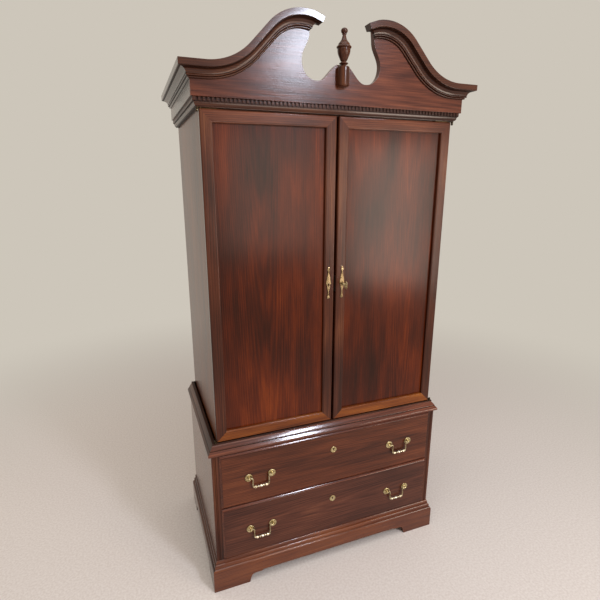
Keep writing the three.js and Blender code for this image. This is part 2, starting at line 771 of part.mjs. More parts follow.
// The top of the cap from the corner to the tip: a sweep up, a straight neck, and an arch over the peak
function crownStations() {
  const neckDrop = archRise - (peakRadius + sweepRadius) * (1 - Math.cos(neckAngle));
  const sweepX = peakOffset + (peakRadius + sweepRadius) * Math.sin(neckAngle) + neckDrop / Math.tan(neckAngle);
  const stations = [];
  for (let i = 0; i <= sweepSteps; i += 1) {
    const angle = (neckAngle * i) / sweepSteps;
    const z = capTop + sweepRadius * (1 - Math.cos(angle));
    stations.push({ x: sweepX - sweepRadius * Math.sin(angle), z, angle });
  }
  for (let i = 0; i <= peakSteps; i += 1) {
    const angle = neckAngle - ((neckAngle + tipAngle) * i) / peakSteps;
    const z = capTop + archRise - peakRadius * (1 - Math.cos(angle));
    stations.push({ x: peakOffset + peakRadius * Math.sin(angle), z, angle });
  }
  return stations;
}

// A place below the top of the cap, square to its curve
function underCap({ x, z, angle }, drop) {
  return [x - drop * Math.sin(angle), z - drop * Math.cos(angle)];
}

// The crown's profile, as overhang and drop below the top of the cap
function crownProfile() {
  const coveX = crownOverhang - crownLip;
  const coveRun = coveX - 2 * crownBead;
  const coveTop = crownFascia + crownFillet;
  const coveFall = crownHeight - coveTop - 2 * crownBead;
  const beadDrop = crownHeight - crownBead;
  return [
    [0, 0],
    [crownOverhang, 0],
    [crownOverhang, crownFascia],
    [coveX, crownFascia],
    ...arc(coveX, coveTop + coveFall, coveRun, coveFall, -Math.PI / 2, -Math.PI, sweepSteps),
    [2 * crownBead, beadDrop],
    ...arc(crownBead, beadDrop, crownBead, crownBead, 0, Math.PI / 2).slice(1),
    [0, crownHeight],
  ];
}

// The crown: an arched half on each side, returned at its tip, and a straight return to the back
function crown() {
  const profile = crownProfile();
  const stations = crownStations();
  const peakZ = capTop + archRise - peakRadius;
  for (const [side, word] of sides) {
    const corner = profile.map(([p, drop]) => cornerEnd(side, friezeHalf, friezeFront)([p, capTop - drop]));
    const back = profile.map(([p, drop]) => squareEnd(side, friezeHalf, backY)([p, capTop - drop]));
    const rings = stations.map((station) => profile.map(([p, drop]) => {
      const [x, z] = underCap(station, drop);
      return new THREE.Vector3(side * x, front(friezeFront + p), z);
    }));
    const tip = (proud) => profile.map(([p, drop]) => {
      const angle = tipAngle + p / peakRadius;
      const x = peakOffset - (peakRadius - drop) * Math.sin(angle);
      const z = peakZ + (peakRadius - drop) * Math.cos(angle);
      return new THREE.Vector3(side * x, front(friezeFront + p * proud), z);
    });
    add(`crown_arch_${word}`, loft([corner, ...rings, tip(1), tip(0)]), wood());
    add(`crown_return_${word}`, loft([corner, back]), wood());
  }
}

// The scrolled board behind the crown, with a cut-out on each side of the peak that carries the finial
function pediment() {
  const neckZ = friezeBottom + scrollNeckRise;
  const bulgeZ = friezeBottom + scrollBulgeRise;
  const bottomZ = friezeBottom + scrollBottomRise;
  const peakZ = friezeBottom + scrollPeakRise;
  const upperPullShare = 0.38;
  const lowerPullShare = 0.59;
  const peakPullShare = 0.41;
  const upperPull = (neckZ - bulgeZ) * upperPullShare;
  const lowerPull = (bulgeZ - bottomZ) * lowerPullShare;
  const bottomPull = (scrollBulge - scrollBottom) * lowerPullShare;
  const peakPull = (scrollBottom - scrollPeak) * peakPullShare;
  const peakFall = (peakZ - bottomZ) * peakPullShare;
  const start = [scrollNeck, neckZ];
  const curves = [
    [[scrollNeck, neckZ - upperPull], [scrollBulge, bulgeZ + upperPull], [scrollBulge, bulgeZ]],
    [[scrollBulge, bulgeZ - lowerPull], [scrollBottom + bottomPull, bottomZ], [scrollBottom, bottomZ]],
    [[scrollBottom - peakPull, bottomZ], [scrollPeak + peakPull, peakZ - peakFall], [scrollPeak, peakZ]],
  ];
  const top = crownStations().map((station) => underCap(station, pedimentDrop));
  const shape = new THREE.Shape();
  shape.moveTo(-friezeHalf, friezeBottom);
  shape.lineTo(friezeHalf, friezeBottom);
  shape.lineTo(friezeHalf, capTop - pedimentDrop);
  for (const [x, z] of [...top, start]) shape.lineTo(x, z);
  for (const [a, b, end] of curves) shape.bezierCurveTo(...a, ...b, ...end);
  shape.lineTo(-scrollPeak, peakZ);
  const ends = [start, curves[0][2], curves[1][2]];
  for (const i of [2, 1, 0]) {
    const [[ax, az], [bx, bz]] = curves[i];
    shape.bezierCurveTo(-bx, bz, -ax, az, -ends[i][0], ends[i][1]);
  }
  for (const [x, z] of top.reverse()) shape.lineTo(-x, z);
  shape.lineTo(-friezeHalf, capTop - pedimentDrop);
  const back = friezeFront - pedimentThickness;
  add("pediment_board", uprightBoard(shape, back, friezeFront, sweepSteps), wood());
  for (const [side, word] of sides) {
    const [x0, x1] = [side * upperHalf, side * friezeHalf];
    add(`frieze_${word}`, box(x0, x1, backY, front(back), friezeBottom, capTop - pedimentDrop), wood());
  }
}

// The turned finial, with a flat at the back of its plinth that lies against the board
function finial() {
  const foot = friezeBottom + finialFootRise;
  const wideHighShares = [
    [0, 0], [0.47, 0.003], [0.73, 0.021], [0.81, 0.048], [0.81, 0.323], [0.73, 0.35], [0.34, 0.362],
    [0.3, 0.38], [0.385, 0.39], [0.577, 0.398], [0.577, 0.413], [0.385, 0.425], [0.342, 0.437],
    [0.47, 0.461], [0.64, 0.515], [0.833, 0.587], [0.88, 0.641], [0.855, 0.659], [0.983, 0.671],
    [1, 0.686], [0.812, 0.707], [0.748, 0.737], [0.556, 0.769], [0.385, 0.802], [0.278, 0.844],
    [0.214, 0.886], [0.3, 0.895], [0.41, 0.916], [0.449, 0.943], [0.41, 0.97], [0.278, 0.991], [0, 1],
  ];
  const profile = wideHighShares.map(([wide, high]) => [finialRadius * wide, finialHeight * high]);
  const points = profile.map(([r, z]) => new THREE.Vector2(r, z));
  const body = new THREE.LatheGeometry(points, turnedSides).rotateX(Math.PI / 2);
  body.translate(0, front(friezeFront + finialProud), foot);
  const wide = 2 * finialRadius;
  const top = friezeBottom + scrollPeakRise + pieceGap;
  const seat = box(-wide, wide, front(friezeFront - wide), front(friezeFront + pieceGap), foot - cutOver, top);
  add("finial", cut(body, seat), wood());
}

lowerCase();
waist();
base();
drawers();
upperCase();
for (const [side, word] of sides) {
  door(side, word);
  doorPlate(side, word);
}
lock();
key();
hinges();
dentilBand();
pediment();
crown();
finial();

export default group;
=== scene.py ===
# Television armoire in stained cherry: two panelled doors over two lipped drawers, on bracket feet,
# with a dentil band, a swan-neck pediment, a turned finial and brass fittings.
import math

import bmesh
import bpy
from mathutils import Matrix, Quaternion, Vector


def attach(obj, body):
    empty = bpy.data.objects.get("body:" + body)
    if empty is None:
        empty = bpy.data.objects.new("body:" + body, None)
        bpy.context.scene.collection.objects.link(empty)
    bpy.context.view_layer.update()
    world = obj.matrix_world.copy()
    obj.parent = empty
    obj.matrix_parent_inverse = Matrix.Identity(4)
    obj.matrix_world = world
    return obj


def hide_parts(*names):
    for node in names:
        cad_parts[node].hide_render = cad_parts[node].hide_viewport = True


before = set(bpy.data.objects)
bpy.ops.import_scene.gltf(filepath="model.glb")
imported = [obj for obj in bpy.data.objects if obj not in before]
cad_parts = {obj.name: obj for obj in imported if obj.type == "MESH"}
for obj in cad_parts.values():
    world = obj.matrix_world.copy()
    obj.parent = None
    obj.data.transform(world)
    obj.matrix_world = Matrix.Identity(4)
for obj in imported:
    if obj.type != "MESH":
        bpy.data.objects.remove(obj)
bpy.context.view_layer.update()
mm = 0.001
sides = [(-1, "left"), (1, "right")]
levels = ["upper", "lower"]

# The case's main sizes in millimetres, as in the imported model: depths count forward from the back
case = {
    "backY": 300,
    "lowerHalf": 474.5,
    "lowerDepth": 555,
    "upperHalf": 449.5,
    "upperDepth": 526,
    "friezeHalf": 473.5,
    "friezeDepth": 567,
    "board": 19,
    "stile": 20,
    "openingHalf": 439.5,
    "lowerCaseTop": 579.5,
    "waistTop": 622,
    "doorBottom": 624.8,
    "doorTop": 1727.2,
    "dentilBottom": 1730,
    "friezeBottom": 1756,
    "capTop": 1845,
}


def front(depth):
    return case["backY"] - depth


# Nodes and materials


def linear(hexColour):
    parts = [int(hexColour[i : i + 2], 16) / 255 for i in (1, 3, 5)]
    return [p / 12.92 if p <= 0.04045 else ((p + 0.055) / 1.055) ** 2.4 for p in parts] + [1]


# An input takes a value, a socket, or a node, which stands for its first output
def setInputs(tree, node, inputs):
    for key, value in inputs.items():
        if isinstance(value, bpy.types.Node):
            value = value.outputs[0]
        if isinstance(value, bpy.types.NodeSocket):
            tree.links.new(value, node.inputs[key])
        else:
            node.inputs[key].default_value = value


def addNode(tree, kind, inputs=None, **settings):
    node = tree.nodes.new(kind)
    for key, value in settings.items():
        setattr(node, key, value)
    setInputs(tree, node, inputs or {})
    return node


def startMaterial(name):
    material = bpy.data.materials.new(name)
    material.use_nodes = True
    tree = material.node_tree
    coords = addNode(tree, "ShaderNodeTexCoord").outputs["Object"]
    return material, tree, tree.nodes["Principled BSDF"], coords


def addRamp(tree, factor, stops):
    node = addNode(tree, "ShaderNodeValToRGB", {"Fac": factor})
    ramp = node.color_ramp
    while len(ramp.elements) < len(stops):
        ramp.elements.new(1)
    for element, (place, colour) in zip(ramp.elements, stops):
        element.position = place
        element.color = linear(colour)
    return node


# The kinds of node that are used most, and the span that nearly all values of a noise lie in
maths = "ShaderNodeMath"
vectorMath = "ShaderNodeVectorMath"
mapRange = "ShaderNodeMapRange"
noise = "ShaderNodeTexNoise"
noiseSpan = {"From Min": 0.3, "From Max": 0.7}
grainTurns = {"up": (0, 0, 0), "across": (0, -math.pi / 2, 0), "deep": (math.pi / 2, 0, 0)}

# Cherry stained red-brown under a satin lacquer. The rings are a real size, and the pores and fibres are
# drawn coarser than real ones, to show. The wide streaks are the uneven take-up of the stain
woodLook = {
    "stops": [0.26, 0.42, 0.58, 0.8],
    "ringWidth": 6,
    "ringShare": 0.09,
    "pith": (60, 95),
    "tilt": 0.035,
    "warp": 30,
    "warpWidth": 1000 / 2.4,
    "warpLength": 0.25,
    "streakWidth": 30,
    "streakLength": 0.09,
    "streakShare": 0.27,
    "blotchWidth": 210,
    "blotchLength": 0.45,
    "blotchShare": 0.42,
    "fibreWidth": 3,
    "fibreLength": 0.02,
    "fibreShare": 0.26,
    "staveWidth": 0,
    "staveShare": 0,
    "poreWidth": 0.9,
    "poreLength": 0.05,
    "poreDepth": 0.3,
    "roughness": (0.36, 0.48),
    "specular": 0.04,
    "coat": 1,
    "coatRoughness": 0.18,
    "coatIor": 1.31,
    "bump": 0.12,
    "coatBump": 0.3,
    "bumpHeight": 0.3,
}


# Length is how much a pattern's change along the grain is slowed, and the tones run from dark to light
def makeWood(name, grain, shift, tones, kin=None, **changes):
    look = {**woodLook, **(kin or {}), **changes}
    material, tree, shader, coords = startMaterial(name)
    inputs = {"Vector": coords, "Location": [s * mm for s in shift], "Rotation": grainTurns[grain]}
    turned = addNode(tree, "ShaderNodeMapping", inputs)

    def stretched(pattern, detail, roughness=0.5):
        squeeze = (1, 1, look[f"{pattern}Length"])
        vector = addNode(tree, vectorMath, {0: turned, 1: squeeze}, operation="MULTIPLY")
        scale = 1 / (look[f"{pattern}Width"] * mm)
        inputs = {"Vector": vector, "Scale": scale, "Detail": detail, "Roughness": roughness}
        return addNode(tree, noise, inputs)

    def weigh(value, middle, share, total=0.5):
        centre = addNode(tree, maths, {0: value, 1: middle}, operation="SUBTRACT")
        return addNode(tree, maths, {0: centre, 1: share, 2: total}, operation="MULTIPLY_ADD")

    def bumped(height, strength):
        inputs = {"Height": height, "Strength": strength, "Distance": look["bumpHeight"] * mm}
        return addNode(tree, "ShaderNodeBump", inputs)

    warpNoise = stretched("warp", 2).outputs["Color"]
    centred = addNode(tree, vectorMath, {0: warpNoise, 1: (0.5, 0.5, 0.5)}, operation="SUBTRACT")
    inputs = {0: centred, 1: [look["warp"] * mm] * 2 + [0], 2: turned}
    warped = addNode(tree, vectorMath, inputs, operation="MULTIPLY_ADD")
    pith = [p * mm for p in look["pith"]] + [0]
    inputs = {"Vector": warped, "Location": pith, "Rotation": (look["tilt"], look["tilt"] / 2, 0)}
    tilted = addNode(tree, "ShaderNodeMapping", inputs)
    flat = addNode(tree, vectorMath, {0: tilted, 1: (1, 1, 0)}, operation="MULTIPLY")
    radius = addNode(tree, vectorMath, {0: flat}, operation="LENGTH").outputs["Value"]
    ringTurn = 2 * math.pi / (look["ringWidth"] * mm)
    turns = addNode(tree, maths, {0: radius, 1: ringTurn}, operation="MULTIPLY")
    wave = addNode(tree, maths, {0: turns}, operation="SINE")
    inputs = {"Value": wave, "From Min": -1, "From Max": 1, "To Min": -0.5, "To Max": 0.5}
    ring = addNode(tree, mapRange, inputs)
    fibre = stretched("fibre", 3, 0.6)
    tone = weigh(stretched("streak", 3, 0.55), 0.5, look["streakShare"] * 2)
    tone = weigh(stretched("blotch", 2), 0.5, look["blotchShare"] * 2, tone)
    tone = weigh(ring, 0, look["ringShare"], tone)
    tone = weigh(fibre, 0.5, look["fibreShare"] * 2, tone)
    if look["staveShare"]:
        across = addNode(tree, "ShaderNodeSeparateXYZ", {0: warped}).outputs["X"]
        inputs = {0: across, 1: look["staveWidth"] * mm}
        count = addNode(tree, maths, inputs, operation="DIVIDE")
        whole = addNode(tree, maths, {0: count}, operation="FLOOR")
        stave = addNode(tree, "ShaderNodeTexWhiteNoise", {"W": whole}, noise_dimensions="1D").outputs["Value"]
        tone = weigh(stave, 0.5, look["staveShare"], tone)
    colour = addRamp(tree, tone, list(zip(look["stops"], tones)))
    inputs = {"Value": stretched("pore", 1), "From Min": 0.6, "From Max": 0.7}
    pores = addNode(tree, mapRange, inputs)
    shade = addNode(tree, maths, {0: pores, 1: look["poreDepth"]}, operation="MULTIPLY")
    inputs = {"Factor": shade, 6: colour, 7: linear(tones[0])}
    darker = addNode(tree, "ShaderNodeMix", inputs, data_type="RGBA")
    low, high = look["roughness"]
    inputs = {"Value": fibre, **noiseSpan, "To Min": low, "To Max": high}
    height = addNode(tree, maths, {0: fibre, 1: pores}, operation="SUBTRACT")
    setInputs(tree, shader, {
        "Base Color": darker.outputs[2],
        "Roughness": addNode(tree, mapRange, inputs),
        "Normal": bumped(height, look["bump"]),
        "Coat Normal": bumped(fibre, look["coatBump"]),
        "Coat Weight": look["coat"],
        "Coat Roughness": look["coatRoughness"],
        "Coat IOR": look["coatIor"],
        "Specular IOR Level": look["specular"],
    })
    return material


crownTones = ["#220f09", "#371a0f", "#4b2716", "#6c3e22"]
stileWood = makeWood("cherryStile", "up", (140, 30, 0), ["#240f08", "#3a1a0e", "#4d2515", "#693d24"])
railWood = makeWood("cherryRail", "across", (0, 60, 240), ["#2e140b", "#492315", "#61331f", "#7f4a2e"])
lowRailWood = makeWood("cherryLowRail", "across", (0, 90, 240), ["#3c1b08", "#5e2b0c", "#783f13", "#96581d"])
# The returns at the sides take the crown's dark tones, darker than the waist, base and pediment fronts: the
# darker tone paints the dark reflection that the side faces catch
shadedSideRail = makeWood("cherrySideRail", "deep", (30, 0, 120), crownTones)
bedSide = makeWood("cherryBedSide", "deep", (30, 0, 120), crownTones, coat=0.4)
ogeeSide = makeWood("cherryOgeeSide", "deep", (30, 0, 120), crownTones, coat=0.75)
turnedWood = makeWood("cherryTurned", "up", (15, 40, 0), crownTones, streakWidth=14, ringWidth=4)

sideTones = ["#301208", "#4b220f", "#633418", "#844b26"]
sideLook = {"pith": (300, 260), "streakShare": 0.2, "blotchShare": 0.26}
upperSideWood = makeWood("cherryUpperSide", "up", (420, 900, 0), sideTones, sideLook, coat=0.68)
lowerSideWood = makeWood("cherryLowerSide", "up", (420, 900, 500), sideTones, sideLook, coatIor=1.42)

mouldLook = {"coatIor": 1.46, "coatRoughness": 0.13, "coatBump": 0.1, "streakShare": 0.2, "blotchShare": 0.28}
# The waist's tones are lighter and pinker than the rails': partly the moulding's own tone, partly a painted
# reflection of the bright ceiling in its up-tilted faces
sheenWaistTones = ["#2f140d", "#4b2418", "#653523", "#854d34"]
sheenWaistWood = makeWood("cherryWaist", "across", (0, 60, 240), sheenWaistTones, mouldLook, coatIor=1.42)
baseTones = ["#35160c", "#532614", "#6d391e", "#8d522d"]
baseWood = makeWood("cherryBase", "across", (620, 60, 240), baseTones, mouldLook)
# The drawer fronts' rounded edges are lighter and pinker than their faces: partly their own tone, partly a
# painted reflection of the bright ceiling
sheenEdgeTones = ["#2d120b", "#4b2316", "#67331f", "#8a4d2d"]
sheenEdgeWood = makeWood("cherryDrawerEdge", "across", (460, 200, 100), sheenEdgeTones, mouldLook, coatIor=1.38)

# Door panels of staves under veneer, with the strongest figure of all
panelTones = ["#250b02", "#3b1203", "#541d04", "#77320a"]
panelLook = {
    "streakWidth": 42, "streakLength": 0.17, "streakShare": 0.26, "blotchShare": 0.34, "fibreShare": 0.2,
    "staveWidth": 74, "staveShare": 0.09, "ringShare": 0.07, "coat": 0.82,
}
panelWoods = {
    "left": makeWood("cherryPanelLeft", "up", (224, 247, -900), panelTones, panelLook, pith=(30, 60)),
    "right": makeWood("cherryPanelRight", "up", (-260, 247, 500), panelTones, panelLook, pith=(-70, 75)),
}
drawerTones = ["#2b120a", "#452113", "#5e2f1b", "#7e4829"]
lowTones = ["#29120d", "#402016", "#572f21", "#754630"]
drawerLook = {"streakWidth": 36, "streakShare": 0.18, "blotchShare": 0.24}
drawerWoods = {
    "upper": makeWood("cherryDrawerUpper", "across", (460, 200, 450), drawerTones, drawerLook, pith=(20, 60)),
    "lower": makeWood("cherryDrawerLower", "across", (240, 300, 1700), lowTones, drawerLook, pith=(-20, 80)),
}

boardTones = ["#28100a", "#442014", "#5e301f", "#7f482c"]
boardLook = {
    "coatBump": 0.6, "coatRoughness": 0.2, "streakShare": 0.12, "streakWidth": 22, "blotchShare": 0.32,
    "pith": (-40, 120),
}
boardWood = makeWood("cherryPediment", "across", (1880, 320, 250), boardTones, boardLook)
crownLook = {"coatIor": 1.4, "coatRoughness": 0.15, "coatBump": 0.15, "streakShare": 0.2, "blotchShare": 0.3}
crownWood = makeWood("cherryCrown", "across", (300, 90, 820), crownTones, crownLook)
toothTones = ["#200f09", "#34190f", "#482517", "#653b24"]
toothWood = makeWood("cherryDentil", "across", (300, 90, 820), toothTones, crownLook)

# Quirks, where old wax has gone dark and dull, and where the dark tone also paints the shade that falls in
# them
waxShadeTones = ["#190c08", "#27130c", "#361d12", "#4a2b1a"]
waxShadeLook = {"coat": 0.3, "coatRoughness": 0.3, "streakShare": 0.2, "blotchShare": 0.2}
waxShadeWood = makeWood("cherryQuirk", "across", (300, 90, 820), waxShadeTones, waxShadeLook)
waxShadeSideWood = makeWood("cherryQuirkSide", "deep", (30, 0, 120), waxShadeTones, waxShadeLook)

# Bare maple of the drawer boxes and the backs, pale and dull without lacquer
mapleTones = ["#7a5a3c", "#9a7650", "#b18c62", "#c4a276"]
mapleLook = {"coat": 0, "roughness": (0.55, 0.7), "poreDepth": 0.2, "blotchShare": 0.24}
innerWood = makeWood("mapleInner", "deep", (90, 10, 60), mapleTones, mapleLook)
backWood = makeWood("mapleBack", "up", (0, 10, 60), mapleTones, mapleLook)


# Antiqued brass, cast, tumbled and lacquered: it is brown and dull in patches, and brighter and smoother
# between them. Its tones run from brown to bright
def makeBrass(name, tones, patchWidth, dull=0.36, bright=0.2):
    material, tree, shader, coords = startMaterial(name)
    inputs = {"Vector": coords, "Scale": 1 / (patchWidth * mm), "Detail": 4}
    patches = addNode(tree, noise, inputs)
    inputs = {"Value": patches, **noiseSpan, "To Min": dull, "To Max": bright}
    rough = addNode(tree, mapRange, inputs)
    colour = addRamp(tree, patches, list(zip((0.3, 0.47, 0.66), tones)))
    setInputs(tree, shader, {"Base Color": colour, "Roughness": rough, "Metallic": 1})
    return material


# Brushed steel, dull, with lines along the height that are drawn coarser than real ones, to show
def makeSteel(name, lineWidth):
    material, tree, shader, coords = startMaterial(name)
    brushed = addNode(tree, vectorMath, {0: coords, 1: (1, 1, 0.05)}, operation="MULTIPLY")
    lines = addNode(tree, noise, {"Vector": brushed, "Scale": 1 / (lineWidth * mm), "Detail": 2})
    rough = addNode(tree, mapRange, {"Value": lines, **noiseSpan, "To Min": 0.34, "To Max": 0.5})
    colour = addRamp(tree, lines, [(0.3, "#8f8d88"), (0.7, "#b4b1ab")])
    setInputs(tree, shader, {"Base Color": colour, "Roughness": rough, "Metallic": 1})
    return material


brass = makeBrass("antiqueBrass", ["#6a5c3c", "#b8a678", "#dccfa8"], patchWidth=5)
bailBrass = makeBrass("handledBrass", ["#5a4f39", "#a19170", "#c9bd9e"], patchWidth=6, dull=0.42, bright=0.34)
# The swells of the bails, polished by handling, in a near-white tone that also paints their highlights
glintGripBrass = makeBrass("polishedBrass", ["#857859", "#e0d3b4", "#fff6e4"], patchWidth=6, bright=0.27)
plateBrass = makeBrass("dullBrass", ["#50432f", "#867253", "#9e8b6e"], patchWidth=9)
# Browned brass for the hinge leaves, darkened to paint the shade in the gaps behind the doors
shadedHingeBrass = makeBrass("brownedBrass", ["#241d14", "#352b1e", "#44392a"], patchWidth=7)
steel = makeSteel("lockSteel", lineWidth=2 / 3)
print("materials made")


# Meshes. Places are in millimetres until a mesh is made


def arc(cx, cz, rx, rz, start, end, steps):
    angles = [math.radians(start + (end - start) * i / steps) for i in range(steps + 1)]
    return [(cx + rx * math.cos(a), cz + rz * math.sin(a)) for a in angles]


# A curve through the points, with steps from each to the next
def smoothed(points, steps=4):
    ends = [points[0], *points, points[-1]]
    made = []
    for around in zip(ends, ends[1:], ends[2:], ends[3:]):
        for step in range(steps):
            t = step / steps
            made.append(tuple(
                0.5 * (2 * q + (r - p) * t + (2 * p - 5 * q + 4 * r - s) * t * t
                       + (3 * q - p - 3 * r + s) * t**3)
                for p, q, r, s in zip(*around)
            ))
    return made + [tuple(points[-1])]


def addObject(name, data):
    made = bpy.data.objects.new(name, data)
    bpy.context.scene.collection.objects.link(made)
    return made


def closeMesh(mesh):
    work = bmesh.new()
    work.from_mesh(mesh)
    bmesh.ops.remove_doubles(work, verts=work.verts, dist=2e-6)
    bmesh.ops.recalc_face_normals(work, faces=work.faces)
    if work.calc_volume(signed=True) < 0:
        bmesh.ops.reverse_faces(work, faces=work.faces)
    work.to_mesh(mesh)
    work.free()


def makePiece(name, points, faces, materials, faceMaterials=None):
    mesh = bpy.data.meshes.new(name)
    mesh.from_pydata([Vector(p) * mm for p in points], [], faces)
    for material in materials:
        mesh.materials.append(material)
    if faceMaterials:
        mesh.polygons.foreach_set("material_index", faceMaterials)
    closeMesh(mesh)
    return addObject(name, mesh)


# A closed skin through rings of points. Each ring's end is capped, unless the rings close on themselves
def loft(name, rings, materials, pick=None, closed=False):
    count = len(rings[0])
    faces = []
    picks = []
    last = len(rings) if closed else len(rings) - 1
    for r in range(last):
        for i in range(count):
            a, b = r * count + i, r * count + (i + 1) % count
            shift = ((r + 1) % len(rings)) * count - r * count
            faces.append((a, b, b + shift, a + shift))
            picks.append(pick(r, i) if pick else 0)
    if not closed:
        faces += [tuple(range(count)), tuple(range((len(rings) - 1) * count, len(rings) * count))]
        picks += [pick(0, 0) if pick else 0, pick(last - 1, 0) if pick else 0]
    return makePiece(name, [p for ring in rings for p in ring], faces, materials, picks)


def plainMesh(piece):
    graph = bpy.context.evaluated_depsgraph_get()
    mesh = bpy.data.meshes.new_from_object(piece.evaluated_get(graph), depsgraph=graph)
    piece.modifiers.clear()
    return mesh


def settle(piece, bevel=0, sharp=32):
    if bevel:
        rounding = piece.modifiers.new("edges", "BEVEL")
        rounding.width = bevel * mm
        rounding.segments = 2
        rounding.limit_method = "ANGLE"
        rounding.angle_limit = math.radians(sharp)
        rounding.use_clamp_overlap = True
        piece.data = plainMesh(piece)
    piece.data.polygons.foreach_set("use_smooth", [True] * len(piece.data.polygons))
    piece.data.set_sharp_from_angle(angle=math.radians(sharp))
    weighing = piece.modifiers.new("flatFaces", "WEIGHTED_NORMAL")
    weighing.keep_sharp = True
    piece.data = plainMesh(piece)
    return piece


def carve(piece, *tools):
    for tool in tools:
        step = piece.modifiers.new("carve", "BOOLEAN")
        step.operation = "DIFFERENCE"
        step.solver = "EXACT"
        step.object = tool
        piece.data = plainMesh(piece)
        bpy.data.objects.remove(tool)
    return piece


def block(name, x0, x1, y0, y1, z0, z1, materials=()):
    rings = [[(x0, y0, z), (x1, y0, z), (x1, y1, z), (x0, y1, z)] for z in (z0, z1)]
    return loft(name, rings, list(materials))


# A board cut to an outline in X and Z, with its front edges eased. Depths count forward
def outlineBoard(name, loops, depth0, depth1, material, ease):
    curve = bpy.data.curves.new(name, "CURVE")
    curve.dimensions = "2D"
    curve.fill_mode = "BOTH"
    for loop in loops:
        spline = curve.splines.new("POLY")
        spline.points.add(len(loop) - 1)
        for point, (x, z) in zip(spline.points, loop):
            point.co = (x * mm, z * mm, 0, 1)
        spline.use_cyclic_u = True
    curve.extrude = ((depth1 - depth0) / 2 - ease) * mm
    curve.bevel_depth = ease * mm
    curve.bevel_resolution = 1
    curve.offset = -ease * mm
    flat = addObject(name, curve)
    mesh = plainMesh(flat)
    bpy.data.objects.remove(flat)
    middle = front((depth0 + depth1) / 2) * mm
    mesh.transform(Matrix.Translation((0, middle, 0)) @ Matrix.Rotation(math.pi / 2, 4, "X"))
    mesh.materials.clear()
    mesh.materials.append(material)
    closeMesh(mesh)
    return settle(addObject(name, mesh))


def place(piece, body, slot, *nodes):
    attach(piece, body)
    if nodes:
        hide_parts(*nodes)
    return piece


# Geometry Nodes: a turned or swept rod, whose radius follows its path


def startTree(name, *inputs):
    tree = bpy.data.node_groups.new(name, "GeometryNodeTree")
    tree.interface.new_socket("Geometry", in_out="INPUT", socket_type="NodeSocketGeometry")
    made = {}
    for label, kind in inputs:
        made[label] = tree.interface.new_socket(label, in_out="INPUT", socket_type=kind).identifier
    tree.interface.new_socket("Geometry", in_out="OUTPUT", socket_type="NodeSocketGeometry")
    return tree, made, addNode(tree, "NodeGroupInput").outputs


def endTree(tree, geometry, material):
    real = addNode(tree, "GeometryNodeRealizeInstances", {"Geometry": geometry})
    painted = addNode(tree, "GeometryNodeSetMaterial", {"Geometry": real, "Material": material})
    addNode(tree, "NodeGroupOutput", {"Geometry": painted})


def useTree(piece, tree, ids, **values):
    step = piece.modifiers.new(tree.name, "NODES")
    step.node_group = tree
    for label, value in values.items():
        step[ids[label]] = value
    mesh = plainMesh(piece)
    made = addObject(piece.name, mesh)
    bpy.data.objects.remove(piece)
    closeMesh(mesh)
    return made


rodTree, rodIds, rodIn = startTree("turnedRod", ("Sides", "NodeSocketInt"), ("Finish", "NodeSocketMaterial"))
circle = addNode(rodTree, "GeometryNodeCurvePrimitiveCircle", {"Resolution": rodIn["Sides"], "Radius": 1})
swell = addNode(rodTree, "GeometryNodeInputRadius")
rodInputs = {"Curve": rodIn["Geometry"], "Profile Curve": circle, "Scale": swell, "Fill Caps": True}
endTree(rodTree, addNode(rodTree, "GeometryNodeCurveToMesh", rodInputs), rodIn["Finish"])


# A rod from places and radii, each (x, y, z, radius)
def turnedRod(name, path, material, count, sharp=40):
    curve = bpy.data.curves.new(name, "CURVE")
    curve.dimensions = "3D"
    spline = curve.splines.new("POLY")
    spline.points.add(len(path) - 1)
    for point, (x, y, z, radius) in zip(spline.points, path):
        point.co = (x * mm, y * mm, z * mm, 1)
        point.radius = max(radius, 0.01) * mm
    rod = useTree(addObject(name, curve), rodTree, rodIds, Sides=count, Finish=material)
    return settle(rod, sharp=sharp)


def joinPieces(name, first, *others):
    work = bmesh.new()
    for part in (first, *others):
        work.from_mesh(part.data)
    mesh = bpy.data.meshes.new(name)
    work.to_mesh(mesh)
    work.free()
    for material in first.data.materials:
        mesh.materials.append(material)
    for part in (first, *others):
        bpy.data.objects.remove(part)
    return settle(addObject(name, mesh))


# Moulding profiles are pairs of overhang and height, and an end turns each pair into a place


def rearEnd(side, part):
    return lambda p, z: (side * (case[f"{part}Half"] + p), case["backY"], z)


def cornerEnd(side, part):
    return lambda p, z: (side * (case[f"{part}Half"] + p), front(case[f"{part}Depth"] + p), z)


def mouldRun(name, profile, ends, materials, pick=None):
    rings = [[end(p, z) for p, z in profile] for end in ends]
    return loft(name, rings, materials, pick)


# A run round the case has its front at the second of three spans
def pickRun(r, i):
    return 0 if r == 1 else 1


# Whether the middle of a span of the profile lies in one of the bands of height
def inBands(profile, i, bands):
    middle = (profile[i][1] + profile[(i + 1) % len(profile)][1]) / 2
    return any(low < middle < high for low, high in bands)


# Lower case: face stiles with a fine bead, the waist moulding and the base

stile = {"beadFromEdge": 10, "quirk": 1.6, "beadRadius": 1.8, "bottom": 88}
for side, word in sides:
    inner, outer = case["openingHalf"], case["lowerHalf"]
    face, back = case["lowerDepth"], case["lowerDepth"] - case["stile"]
    bead = outer - stile["beadFromEdge"]
    q, r = stile["quirk"], stile["beadRadius"]
    profile = [(inner, back), (inner, face), (bead - 2 * r - q, face), (bead - 2 * r - q / 2, face - q)]
    profile += arc(bead - r, face - r, r, r, 180, 0, 6)
    profile += [(bead + q / 2, face - q), (bead + q, face), (outer, face), (outer, back)]
    rings = [[(side * x, front(d), z) for x, d in profile] for z in (stile["bottom"], case["lowerCaseTop"])]
    piece = settle(loft(f"faceStile_{word}", rings, [stileWood]), bevel=0.5)
    place(piece, "case", "wood", f"face_stile_{word}")

